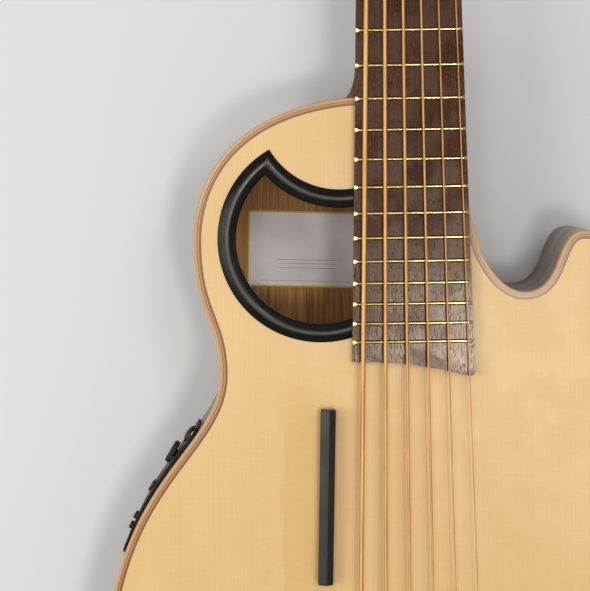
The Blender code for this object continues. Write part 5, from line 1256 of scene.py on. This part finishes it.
def dress_neck():
    start = NECK_JOINT_Y + GAP
    sections = []
    for step in range(11):
        share = step / 10
        y = start + HEEL_LONG * share
        half = board_half(y)
        sections.append(neck_section(y, half + HEEL_FLARE * (1 - share) ** 3, half, TOP_Z, TOP_Z,
                                     HEEL_FOOT_HALF * math.sqrt(1 - 0.75 * share ** 2)))
    for step in range(1, 17):
        share = (step / 16) ** 1.6
        y = start + HEEL_LONG + HEEL_CURVE_LONG * share
        depth = NECK_DEPTH_BODY + (TOP_Z - NECK_DEPTH_BODY) * (1 - math.sqrt(share)) ** 2
        sections.append(neck_section(y, board_half(y), board_half(y), TOP_Z, depth,
                                     HEEL_FOOT_HALF / 2 * (1 - share) + 0.001))
    y = SCALE_LENGTH - 0.010
    half = board_half(SCALE_LENGTH)
    sections.append(neck_section(y, board_half(y), board_half(y), TOP_Z, NECK_DEPTH_NUT, 0.001))
    sections.append(neck_section(NUT_REAR_Y, half, half, TOP_Z, NECK_DEPTH_NUT, 0.001))
    slope, thick = math.tan(HEAD_TILT), HEAD_THICK / math.cos(HEAD_TILT)
    for reach, below in ((0.005, 0.0048), (0.010, 0.0035), (0.017, 0.0021), (0.024, 0.0010),
                         (0.029, -0.0004), (0.034, -0.0020)):
        sections.append(neck_section(NUT_REAR_Y + reach, half, half, TOP_Z - reach * slope - 0.001,
                                     thick - 0.001 + below, 0.004))
    neck = skin("neck", sections)
    head = bevelled(plate("head", [head_outline(0)], -HEAD_THICK, 0), 0.0012, 3, 60)
    head.transform(HEAD_FRAME)
    neck = cut_with(neck, head, 'UNION')
    pocket = box("pocket", (-ROD_POCKET_HALF, 0.0015, -0.011),
                 (ROD_POCKET_HALF, ROD_POCKET_END, 0.010), HEAD_FRAME)
    holes = []
    for _, _, u, v in tuner_places():
        hole = rod("hole", BUSHING_RADIUS + GAP, (u, v, -0.03), (u, v, 0.02))
        hole.transform(HEAD_FRAME)
        holes.append(hole)
    neck = cut_with(neck, joined("openings", [pocket] + holes))
    x, y, z = strap_button_place()
    seat = rod("seat", STRAP_BUTTON_RADIUS + 2 * GAP, (x, y, z), (x + 0.05, y, z), 32)
    neck = cut_with(neck, seat)
    placed_piece("neck_and_head", neck, "neck", stands_for=["neck"], flat=30)


def head_outline(lift):
    near, long = board_half(SCALE_LENGTH), HEAD_LONG
    wide, end = HEAD_WIDE_HALF, HEAD_END_HALF
    right = [(near, lift)]
    right += bezier((near, lift + 0.002), (near, HEAD_SHOULDER * 0.5), (wide, HEAD_SHOULDER * 0.55),
                    (wide, HEAD_SHOULDER), 20)
    right += [(wide, HEAD_SHOULDER)]
    right += bezier((end, long - 0.012), (end - 0.001, long - 0.003), (end - 0.004, long),
                    (end - 0.012, long), 12)
    right += bezier((end - 0.012, long), (0.016, long + 0.0005), (0.010, long + HEAD_CROWN),
                    (0, long + HEAD_CROWN), 16)
    return right + [(0, long + HEAD_CROWN)] + [(-x, y) for x, y in reversed(right)]


def dress_board():
    near = board_half(SCALE_LENGTH)
    end_half = board_half(BOARD_END_Y)
    corner_x = board_half(BOARD_TREBLE_END_Y + BOARD_CORNER) - BOARD_CORNER
    loop = [(-near, SCALE_LENGTH)]
    loop += bezier((-end_half, BOARD_END_Y), (-end_half + 0.045, BOARD_END_Y),
                   (corner_x - 0.022, BOARD_TREBLE_END_Y + 0.0045), (corner_x, BOARD_TREBLE_END_Y),
                   36)
    loop += arc((corner_x, BOARD_TREBLE_END_Y + BOARD_CORNER), BOARD_CORNER, -math.pi / 2, 0, 10)
    loop += [(near, SCALE_LENGTH)]
    board = bevelled(plate("board", [loop], BOARD_LOW, BOARD_TOP), 0.0004, 2, 60)
    placed_piece("rosewood_board", board, "board", stands_for=["fingerboard"])

    section = [(-FRET_HALF, -0.0006)]
    section += [(-FRET_HALF * math.cos(a), 0.00005 + 0.00115 * math.sin(a))
                for a in even(math.pi, 16)]
    section.append((FRET_HALF, -0.0006))
    rings = []
    slant = [(0.07 * step / 6 - 1, FRET_HALF * step / 6) for step in range(7)]
    for x, most in slant + [(-x, most) for x, most in reversed(slant)]:
        rings.append([(x, y, min(z, max(most, 0.0001))) for y, z in section])
    spread = (BOARD_WIDTH_LAST_FRET - BOARD_WIDTH_NUT) / 2 / (SCALE_LENGTH
                                                              * (1 - 2 ** (-FRET_COUNT / 12)))
    frets = grown("fret_wires", bpy.data.meshes.new("seed"), FRETS, {
        "Count": FRET_COUNT, "Scale Length": SCALE_LENGTH, "Nut Half": near - 0.0002,
        "Spread": spread,
        "Height": BOARD_TOP, "Wire": added("wire", skin("wire", rings)), "Material": LOOKS["fret"]})
    placed_piece("fret_wires", frets, "fret", flat=25)

    dot = turned("dot", [(0, 0), (0.0011, 0), (0.0010, 0.00015), (0, 0.0002)], 14)
    spots = []
    for number in (3, 5, 7, 9, 12, 15, 17, 19, 21, 24):
        middle = SCALE_LENGTH * (2 ** (-number / 12) + 2 ** (-(number - 1) / 12)) / 2
        for y in ((middle - 0.004, middle + 0.004) if number == 12 else (middle,)):
            spots.append(((-board_half(y) + 0.00001, y, BOARD_TOP - 0.0030), (-1, 0, 0)))
    placed_piece("side_dots", copies_at("side_dots", dot, spots, "marks"), "marks")

    half, low, high = near, TOP_Z + GAP, BOARD_TOP + NUT_HIGH
    outline = [(-half, low), (half, low), (half, high - 0.001), (half - 0.0003, high - 0.0003),
               (half - 0.001, high)]
    for number in reversed(range(6)):
        x, diameter = string_x(number, True), STRINGS[number][1]
        room, floor = diameter / 2 + 1.4 * GAP, STRING_LOW_NUT - GAP
        outline += [(x + room, high)]
        outline += [(x + room * math.cos(a), floor + room - room * math.sin(a))
                    for a in even(math.pi, 8)]
        outline += [(x - room, high)]
    outline += [(-half + 0.001, high), (-half + 0.0003, high - 0.0003), (-half, high - 0.001)]
    nut = plate("nut", [outline], SCALE_LENGTH + GAP, NUT_REAR_Y)
    nut.transform(UPRIGHT)
    nut.flip_normals()
    placed_piece("bone_nut", bevelled(nut, 0.0003, 2, 60), "bone", stands_for=["nut"])


# Headstock

def dress_head_face():
    lift = 0.0008
    holes = [circle((u, v), BUSHING_RADIUS + GAP) for _, _, u, v in tuner_places()]
    pocket = [(-ROD_POCKET_HALF, 0.0030), (ROD_POCKET_HALF, 0.0030),
              (ROD_POCKET_HALF, ROD_POCKET_END), (-ROD_POCKET_HALF, ROD_POCKET_END)]
    face = bevelled(plate("face", [head_outline(lift)] + holes + [pocket], GAP * 0.2, FACE_W),
                    0.0005, 2, 60)
    face.transform(HEAD_FRAME)
    placed_piece("head_veneer", face, "veneer", stands_for=["headstock_faceplate"])
    low = FACE_W + GAP
    loop = [(-0.0100, 0.0016), (0.0100, 0.0016), (0.0100, 0.008)]
    loop += bezier((0.0100, 0.010), (0.0100, 0.016), (0.0065, 0.014), (0.0055, 0.024), 12)
    loop += [(0.0055, 0.024)] + arc((0, 0.0245), 0.0055, 0, math.pi / 2, 6)[1:]
    cover = bevelled(plate("cover", [loop + [(-x, y) for x, y in reversed(loop[2:])]], low,
                           low + COVER_THICK),
                     0.0005, 2, 50)
    cover.transform(HEAD_FRAME)
    placed_piece("rod_cover", cover, "plastic", stands_for=["truss_rod_cover"])


def toothed(u, v):
    """The worm wheel's outline, with flat-topped teeth."""
    loop = []
    for tooth in range(GEAR_TEETH):
        for share, radius in ((-0.32, GEAR_RADIUS - GEAR_TOOTH), (-0.15, GEAR_RADIUS),
                              (0.15, GEAR_RADIUS), (0.32, GEAR_RADIUS - GEAR_TOOTH)):
            angle = 2 * math.pi * (tooth + share) / GEAR_TEETH
            loop.append((u + radius * math.cos(angle), v + radius * math.sin(angle)))
    return loop


def worm_thread(u, axis_v):
    """The worm on the key's shaft, one thread wound along it."""
    pitch = 2 * math.pi * (GEAR_RADIUS - GEAR_TOOTH / 2) / GEAR_TEETH
    rings = []
    for step in range(49):
        x = -WORM_LONG / 2 + WORM_LONG * step / 48
        ring = []
        for turn in range(24):
            angle = 2 * math.pi * turn / 24
            wave = 0.5 + 0.5 * math.cos(2 * math.pi * x / pitch - angle)
            radius = WORM_RADIUS - 0.0011 * (1 - min(1, max(0, wave * 1.8 - 0.4)))
            ring.append((u + x, axis_v + radius * math.cos(angle),
                         WORM_W + radius * math.sin(angle)))
        rings.append(ring)
    return skin("worm", rings)


def dress_tuner(number, side, u, v):
    top = FLANGE_TOP_W
    profile = [(0, top - 0.012), (POST_RADIUS, top - 0.012), (POST_RADIUS, top),
               (POST_WAIST, top + 0.0006),
               (POST_WAIST, POST_HIGH - 0.0025), (POST_RADIUS, POST_HIGH - 0.0018),
               (POST_RADIUS, POST_HIGH - 0.0006), (POST_RADIUS - 0.0006, POST_HIGH),
               (0.0022, POST_HIGH), (0.0018, POST_HIGH - 0.0008), (0, POST_HIGH - 0.0008)]
    stem = turned("stem", profile, 32, Matrix.Translation((u, v, 0)))
    wheel_low, wheel_high = WORM_W - GEAR_THICK / 2, WORM_W + GEAR_THICK / 2
    wheel = bevelled(plate("wheel", [toothed(u, v)], wheel_low, wheel_high), 0.0002, 1, 50)
    spindle = rod("spindle", POST_RADIUS, (u, v, wheel_high - 0.001), (u, v, top - 0.006), 32)
    post = joined("post", [stem, wheel, spindle])
    post.transform(HEAD_FRAME)
    placed_piece(f"post_{number + 1}", post, "chrome", f"tuner_post_{number + 1}",
                 [f"tuner_post_{number + 1}"])

    axis_v = v + WORM_OFFSET
    inner = u - side * 0.0118
    collar = u + side * (KEY_REACH - KEY_RADIUS * (1 - KEY_LOBE) * 0.9)
    shaft = rod("shaft", SHAFT_RADIUS, (inner, axis_v, WORM_W), (collar, axis_v, WORM_W))
    rings = []
    for high, share in ((-1, 0.80), (-0.86, 0.91), (-0.5, 0.985), (0, 1), (0.5, 0.985),
                        (0.86, 0.91), (1, 0.80)):
        ring = []
        for step in range(60):
            angle = 2 * math.pi * step / 60
            radius = (KEY_RADIUS * (1 + KEY_LOBE * math.cos(3 * angle))) - KEY_RADIUS * (1 - share)
            ring.append((side * -radius * math.cos(angle), radius * math.sin(angle),
                         high * KEY_THICK / 2))
        rings.append(ring)
    button = skin("button", rings)
    button.transform(Matrix.Translation((u + side * KEY_REACH, axis_v, WORM_W)))
    way = Matrix.Translation((collar, axis_v, WORM_W)) @ Matrix.Rotation(side * math.pi / 2, 4, 'Y')
    neck = turned("collar", [(0, -0.0035), (0.0030, -0.0035), (0.0036, -0.0028), (0.0036, -0.001),
                             (0.0025, 0.001), (0.0024, 0.0045), (0, 0.0045)], 24, way)
    key = joined("key", [shaft, worm_thread(u, axis_v), button, neck])
    key.transform(HEAD_FRAME)
    placed_piece(f"key_{number + 1}", key, "chrome", f"tuner_key_{number + 1}",
                 [f"tuner_key_{number + 1}"])


def dress_tuner_housing(number, u, v):
    """Back plate, two lugs for the worm shaft, sleeve, and washer and hexagon nut in front."""
    high = -HEAD_THICK - GAP
    axis_v = v + WORM_OFFSET
    ahead = WORM_OFFSET + WORM_RADIUS + 0.001
    inner = POST_RADIUS + GAP
    corners = [(-PLATE_HALF, -0.009), (PLATE_HALF, -0.009), (PLATE_HALF, ahead),
               (-PLATE_HALF, ahead)]
    loop = []
    for quarter, (x, y) in zip((2, 3, 0, 1), corners):
        toward = (-1 if x > 0 else 1, -1 if y > 0 else 1)
        centre = (u + x + toward[0] * 0.002, v + y + toward[1] * 0.002)
        loop += arc(centre, 0.002, quarter * math.pi / 2, (quarter + 1) * math.pi / 2, 5)
    base = bevelled(plate("base", [loop, circle((u, v), inner, 32)], high - PLATE_THICK, high),
                    0.0003, 2, 50)
    parts = [base]
    lug_half = SHAFT_RADIUS + 0.0018
    for end in (-1, 1):
        near, far = u + end * (WORM_LONG / 2 + GAP), u + end * (WORM_LONG / 2 + GAP + 0.004)
        outline = [(axis_v + lug_half, high - 0.0006), (axis_v - lug_half, high - 0.0006)]
        outline += arc((axis_v, WORM_W), lug_half, -math.pi, 0, 12)
        lug = plate("lug", [outline, circle((axis_v, WORM_W), SHAFT_RADIUS + GAP, 24)],
                    min(near, far), max(near, far))
        lug.transform(Matrix(((0, 0, 1, 0), (1, 0, 0, 0), (0, 1, 0, 0), (0, 0, 0, 1))))
        parts.append(bevelled(lug, 0.0003, 2, 50))
    flange = FACE_W + GAP
    sleeve = [(inner, high - PLATE_THICK), (BUSHING_RADIUS, high - PLATE_THICK),
              (BUSHING_RADIUS, flange),
              (FLANGE_RADIUS, flange), (FLANGE_RADIUS, flange + 0.0003),
              (FLANGE_RADIUS - 0.0003, flange + 0.0006), (inner, flange + 0.0006)]
    parts.append(turned("sleeve", sleeve, 32, Matrix.Translation((u, v, 0)), closed=True))
    nut = plate("nut", [circle((u, v), FLANGE_RADIUS - 0.0003, 6), circle((u, v), inner, 32)],
                flange + 0.0005, flange + FLANGE_THICK)
    parts.append(bevelled(nut, 0.0003, 2, 50))
    housing = joined("housing", parts)
    housing.transform(HEAD_FRAME)
    placed_piece(f"housing_{number + 1}", housing, "chrome",
                 stands_for=[f"tuner_housing_{number + 1}"])


# Preamp

# X along the rib to the neck, Y out of the guitar and Z up
PREAMP_FRAME = Matrix(((0.5174673, -0.855703, 0, -0.1822731), (0.855703, 0.5174673, 0, 0.1112081),
                       (0, 0, 1, MIDDLE_Z), (0, 0, 0, 1)))
PANEL_LENGTH = 0.10342374


def rib_height(at):
    """The rib's outer face at a place along the panel, in the preamp's frame."""
    places = [PREAMP_FRAME.inverted() @ Vector((*point, MIDDLE_Z))
              for point in OUTLINE[:TAIL_INDEX]]
    for first, second in zip(places, places[1:]):
        if second.x <= at <= first.x:
            return first.y + (second.y - first.y) * (first.x - at) / (first.x - second.x)
    return 0.0


PANEL_END_HIGH = rib_height(PANEL_LENGTH / 2)


def bent_along_rib(mesh, step=0.003):
    """A flat piece lying in X and Z is sliced across and laid along the rib."""
    shape = bmesh.new()
    shape.from_mesh(mesh)
    reach = max(abs(vert.co.x) for vert in shape.verts)
    for cut in range(-int(reach / step), int(reach / step) + 1):
        bmesh.ops.bisect_plane(shape, geom=shape.verts[:] + shape.edges[:] + shape.faces[:],
                               plane_co=(cut * step + 0.0001, 0, 0), plane_no=(1, 0, 0),
                               dist=0.000001)
    for vert in shape.verts:
        vert.co.y += rib_height(vert.co.x)
    shape.to_mesh(mesh)
    shape.free()
    mesh.transform(PREAMP_FRAME)
    return mesh


def laid(name, loops, low, high, bevel=0.0):
    """A flat piece on the rib, its outline in X and Z, from low to high above the rib."""
    mesh = plate(name, loops, low, high)
    if bevel:
        mesh = bevelled(mesh, bevel, 2, 50)
    mesh.transform(UPRIGHT)
    mesh.flip_normals()
    return bent_along_rib(mesh)


def out_of_rib(at, row):
    """A frame at a control, its Z pointing out of the rib."""
    return PREAMP_FRAME @ Matrix.Translation((at, 0, row)) @ Matrix.Rotation(-math.pi / 2, 4, 'X')


def dress_panel():
    """The panel with its openings, the dome at its end and its pale marks."""
    half_x, half_z = DOOR_SIZE[0] / 2, DOOR_SIZE[1] / 2
    openings = [circle((at, CONTROL_ROW), STEM_HOLE_RADIUS) for at in (KNOB_AT, *BUTTONS_AT)]
    openings += [rounded(0.0113, 0.0013, 0.0006, (SLIDERS_AT, row), 4) for row in SLIDER_ROWS]
    openings.append(rounded(half_x + GAP, half_z + 0.0006, 0.0008, (0, DOOR_ROW + 0.0003), 4))
    panel = laid("panel", [rounded(PANEL_LENGTH / 2, PANEL_HIGH / 2, 0.008)] + openings,
                 GAP, GAP + PANEL_THICK, 0.0004)
    placed_piece("preamp_face", panel, "satin", stands_for=["preamp_panel"])

    at, radius = DOME_AT, DOME_RADIUS
    low, high = rib_height(at + radius) + GAP + 0.001, rib_height(at) + 0.0060
    dome = [(0, low), (radius, low), (radius, high - 0.0030)]
    dome += [(radius * math.cos(a), high - 0.0030 + 0.0030 * math.sin(a))
             for a in even(math.pi / 2, 8)[1:]]
    placed_piece("preamp_dome", turned("dome", dome, 40, out_of_rib(at, CONTROL_ROW)), "plastic")

    ticks = []
    for step in range(11):
        angle = math.radians(-140 + 28 * step) + math.pi / 2
        middle = (KNOB_AT + KNOB_MARKS_RADIUS * math.cos(angle),
                  CONTROL_ROW + KNOB_MARKS_RADIUS * math.sin(angle))
        ticks.append([(middle[0] + dx * math.cos(angle) - dy * math.sin(angle),
                       middle[1] + dx * math.sin(angle) + dy * math.cos(angle))
                      for dx,
                      dy in ((-0.0006, -MARK_HALF), (0.0006, -MARK_HALF), (0.0006, MARK_HALF),
                                     (-0.0006, MARK_HALF))])
    for row in SLIDER_ROWS:
        for step in range(-4, 5):
            x, reach = SLIDERS_AT + step * 0.00225, 0.0007 if step % 4 == 0 else 0.0004
            ticks.append([(x - MARK_HALF, row + 0.0030 - reach),
                          (x + MARK_HALF, row + 0.0030 - reach),
                          (x + MARK_HALF, row + 0.0030 + reach),
                          (x - MARK_HALF, row + 0.0030 + reach)])
    marks = laid("marks", ticks, GAP + PANEL_THICK - 0.0002, GAP + PANEL_THICK + 0.00004)
    placed_piece("panel_marks", marks, "marks")


def dress_door():
    door_loop = rounded(DOOR_SIZE[0] / 2, DOOR_SIZE[1] / 2, 0.0006, (0, DOOR_ROW), 4)
    door = laid("door", [door_loop], GAP, GAP + PANEL_THICK, 0.0003)
    ridges = [laid("ridge", [rounded(0.0005, 0.0042, 0.0004, (x, DOOR_ROW + 0.002), 4)],
                   GAP + PANEL_THICK - 0.0003, GAP + PANEL_THICK + 0.0003, 0.0002)
              for x in [step * 0.0018 for step in range(-3, 4)]]
    placed_piece("battery_door_face", joined("door", [door] + ridges), "plastic", "battery_door",
                 ["battery_door"])


def dress_knob():
    front, at = PANEL_END_HIGH, KNOB_AT
    seat, high = rib_height(at - KNOB_RADIUS) + PANEL_THICK + 2 * GAP, rib_height(at) + 0.0074
    knob = [(0, front), (0.0030, front), (0.0030, seat), (0.0080, seat),
            (KNOB_RADIUS, seat + 0.0005),
            (KNOB_RADIUS, high - 0.0012), (0.0083, high - 0.0005), (0.0077, high - 0.00005),
            (0.0070, high), (0.0055, high - 0.0003), (0, high - 0.0004)]
    turned_knob = turned("knob", knob, 144, out_of_rib(at, CONTROL_ROW), ripple=lambda angle,
                         radius: (
        0.0 if radius < 0.0079 else 0.00035 * (0.5 + 0.5 * math.cos(24 * angle)) ** 2))
    placed_piece("knob", turned_knob, "plastic", "volume_knob", ["volume_knob"])
    line = bevelled(box("line", (-0.0003, 0.0028, high - 0.0004), (0.0003, 0.0072, high)), 0.0001,
                    1)
    line.transform(out_of_rib(at, CONTROL_ROW) @ Matrix.Rotation(math.pi, 4, 'Z'))
    placed_piece("knob_line", line, "marks", "volume_knob")


def dress_sliders_and_buttons():
    front = PANEL_END_HIGH
    seat = PANEL_THICK + 2 * GAP
    for index, (setting, row) in enumerate(zip(SLIDER_SETTINGS, SLIDER_ROWS)):
        cap = [(-0.0030, seat), (0.0030, seat), (0.0030, 0.0040), (0.0026, 0.0045),
               (0.0016, 0.0045),
               (0.0012, 0.0041), (0.0008, 0.0041), (0.0004, 0.0037), (-0.0004, 0.0037),
               (-0.0008, 0.0041),
               (-0.0012, 0.0041), (-0.0016, 0.0045), (-0.0026, 0.0045), (-0.0030, 0.0040)]
        grip = plate("cap", [cap], -0.00225, 0.00225)
        stem = box("stem", (-0.002, front, -0.001), (0.002, seat + 0.001, 0.001))
        slider = joined("slider", [bevelled(grip, 0.00025, 2, 50), stem])
        place = PREAMP_FRAME @ Matrix.Translation((SLIDERS_AT + setting, 0, row))
        slider.transform(place)
        body = f"slider_cap_{index + 1}"
        placed_piece(body + "_grip", slider, "plastic", body, [body])
        stripe = box("stripe", (-0.0002, 0.0034, -0.0019), (0.0002, 0.00375, 0.0019), place)
        placed_piece(f"slider_line_{index + 1}", stripe, "marks", body)

    for body, at in zip(("phase_button", "tuner_button"), BUTTONS_AT):
        high = rib_height(at) + 0.0046
        profile = [(0, front + 0.0015), (0.0030, front + 0.0015), (0.0030, high - 0.0008),
                   (0.0028, high - 0.0003), (0.0023, high), (0.0016, high - 0.0001),
                   (0, high - 0.0003)]
        placed_piece(body + "_cap", turned(body, profile, 32, out_of_rib(at, CONTROL_ROW)),
                     "plastic", body, [body])


def dress_battery():
    depth = PANEL_END_HIGH - 0.0008
    cell = bevelled(box("battery", (-0.0240, depth - 0.026, DOOR_ROW - 0.0087),
                        (0.0240, depth, DOOR_ROW + 0.0087)), 0.0016, 3)
    snaps = [turned("snap", [(0, 0), (0.0032, 0), (0.0032, 0.0016), (0.0026, 0.002), (0, 0.002)],
                    24,
                    Matrix.Translation((x, depth - 0.0004, DOOR_ROW))
                    @ Matrix.Rotation(-math.pi / 2, 4, 'X'))
             for x in (-0.0065, 0.0065)]
    cell.transform(PREAMP_FRAME)
    placed_piece("battery", cell, "battery")
    caps = joined("battery_snaps", snaps)
    caps.transform(PREAMP_FRAME @ Matrix.Translation((0, -0.0012, 0)))
    placed_piece("battery_snaps", caps, "steel")


# Screws, jack, strap button

def screw_head(radius):
    dome = [(0, -0.0006), (radius * 0.8, -0.0006), (radius, 0)]
    dome += [(radius * math.cos(a), radius * 0.42 * math.sin(a))
             for a in even(math.pi / 2, 4)[1:-1]] + [(0, radius * 0.42)]
    head = turned("screw", dome, 16)
    for long, wide in ((0.62, 0.12), (0.12, 0.62)):
        head = cut_with(head, box("slot", (-radius * long, -radius * wide, radius * 0.18),
                                  (radius * long, radius * wide, radius)))
    return head


def place_screws(name, radius, spots, look):
    placed_piece(name, copies_at(name, screw_head(radius), spots, look), look)


def dress_screws():
    back = HEAD_FRAME.to_3x3() @ Vector((0, 0, -1))
    spots = []
    for _, _, u, v in tuner_places():
        for x, y in ((-0.0122, -0.0067), (0.0122, -0.0067), (-0.0122, 0.0152), (0.0122, 0.0152)):
            spots.append((HEAD_FRAME @ Vector((u + x, v + y, PLATE_LOW_W)), back))
    place_screws("tuner_screws", 0.0014, spots, "chrome")
    front = HEAD_FRAME.to_3x3() @ Vector((0, 0, 1))
    spots = [(HEAD_FRAME @ Vector((x, y, FACE_W + GAP + COVER_THICK)), front)
             for x, y in ((-0.0070, 0.0050), (0.0070, 0.0050), (0, 0.0262))]
    place_screws("cover_screws", 0.0015, spots, "chrome")
    spots = []
    for x in (-PANEL_LENGTH / 2 + PANEL_SCREW_INSET, PANEL_LENGTH / 2 - PANEL_SCREW_INSET):
        for z in (-PANEL_HIGH / 2 + PANEL_SCREW_INSET, PANEL_HIGH / 2 - PANEL_SCREW_INSET):
            slope = (rib_height(x + 0.001) - rib_height(x - 0.001)) / 0.002
            way = PREAMP_FRAME.to_3x3() @ Vector((-slope, 1, 0)).normalized()
            spots.append((PREAMP_FRAME @ Vector((x, rib_height(x) + GAP + PANEL_THICK, z)), way))
    place_screws("panel_screws", 0.0018, spots, "steel")


def dress_strap_button():
    long, radius = 0.0125, STRAP_BUTTON_RADIUS
    profile = [(0, 0), (radius, 0), (radius, 0.0013), (radius * 0.8, 0.0022),
               (radius * 0.58, 0.0040),
               (radius * 0.5, long * 0.45), (radius * 0.55, long * 0.62),
               (radius * 0.85, long * 0.75),
               (radius * 0.98, long * 0.82), (radius, long * 0.88), (radius * 0.95, long * 0.95),
               (radius * 0.8, long), (radius * 0.42, long), (radius * 0.38, long - 0.0006),
               (0, long - 0.0006)]
    x, y, z = strap_button_place()
    place = Matrix.Translation((x + GAP, y, z)) @ Matrix.Rotation(math.pi / 2, 4, 'Y')
    placed_piece("heel_button", turned("strap_button", profile, 40, place), "chrome",
                 stands_for=["strap_button"])


def dress_jack():
    """The socket in the tail, and its lead to the preamp inside the body."""
    proud, bore, deep = 0.0150, 0.0033, 0.027
    profile = [(0, -0.030), (0.0060, -0.030), (0.0060, GAP), (0.0115, GAP), (0.0115, 0.0012),
               (0.0110, 0.0020), (0.0078, 0.0030), (0.0070, 0.0045), (0.0065, proud - 0.0055),
               (0.0072, proud - 0.0045), (0.0087, proud - 0.0036), (0.0090, proud - 0.0028),
               (0.0090, proud - 0.0007), (0.0086, proud), (bore + 0.0012, proud),
               (bore, proud - 0.0006), (bore, proud - deep), (0, proud - deep)]
    place = Matrix.Translation((0, TAIL_Y, MIDDLE_Z)) @ Matrix.Rotation(math.pi / 2, 4, 'X')
    socket = turned("jack", profile, 40, place)
    floor = INSIDE_LOW + LEAD_DIAMETER / 2 + GAP
    end = TAIL_Y + 0.030
    leaving = PREAMP_FRAME @ Vector((-PANEL_LENGTH / 3, PANEL_END_HIGH - 0.0349, -0.012))
    after = PREAMP_FRAME @ Vector((-PANEL_LENGTH / 3, PANEL_END_HIGH - 0.0469, -0.014))
    corners = [leaving, after, Vector((-0.152, 0.030, floor + 0.018)),
               Vector((-0.140, -0.022, floor + 0.015)),
               Vector((-0.108, -0.066, floor + 0.003)), Vector((-0.060, -0.086, floor + 0.002)),
               Vector((-0.022, -0.092, floor + 0.012)), Vector((-0.002, end + 0.016, 0.046)),
               Vector((0, end + 0.006, MIDDLE_Z)), Vector((0, end - 0.002, MIDDLE_Z))]
    lead = tube("lead", smooth_route(corners, 6), LEAD_DIAMETER, 12)
    placed_piece("jack_socket", socket, "chrome", stands_for=["output_jack"])
    placed_piece("jack_lead", lead, "plastic")


def smooth_route(corners, steps):
    points = []
    padded = [corners[0]] + corners + [corners[-1]]
    for before, start, end, after in zip(padded, padded[1:], padded[2:], padded[3:]):
        for step in range(steps):
            t = step / steps
            points.append(0.5 * ((2 * start) + (end - before) * t
                                 + (2 * before - 5 * start + 4 * end - after) * t * t
                                 + (3 * start - before - 3 * end + after) * t ** 3))
    return points + [corners[-1]]


def dress_inside():
    """The solids that stay as they are get their woods, metal and plastic."""
    looks = {"top_lining": "inner_side", "back_lining": "inner_side", "neck_block": "inner_side",
             "tail_block": "inner_side", "top_braces": "inner", "back_braces": "inner",
             "pickup_strip": "brass", "truss_rod": "steel", "truss_rod_nut": "steel",
             "preamp_box": "plastic"}
    for name, look in looks.items():
        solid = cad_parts[name]
        for slot in solid.material_slots:
            slot.material = LOOKS[look]


set_camera()
light_room()
lay_floor()
dress_body()
dress_hole()
dress_label()
dress_thumb_rest()
dress_bridge()
dress_strings()
dress_neck()
dress_board()
dress_head_face()
for number, side, u, v in tuner_places():
    dress_tuner(number, side, u, v)
    dress_tuner_housing(number, u, v)
dress_panel()
dress_door()
dress_knob()
dress_sliders_and_buttons()
dress_battery()
dress_screws()
dress_strap_button()
dress_jack()
dress_inside()
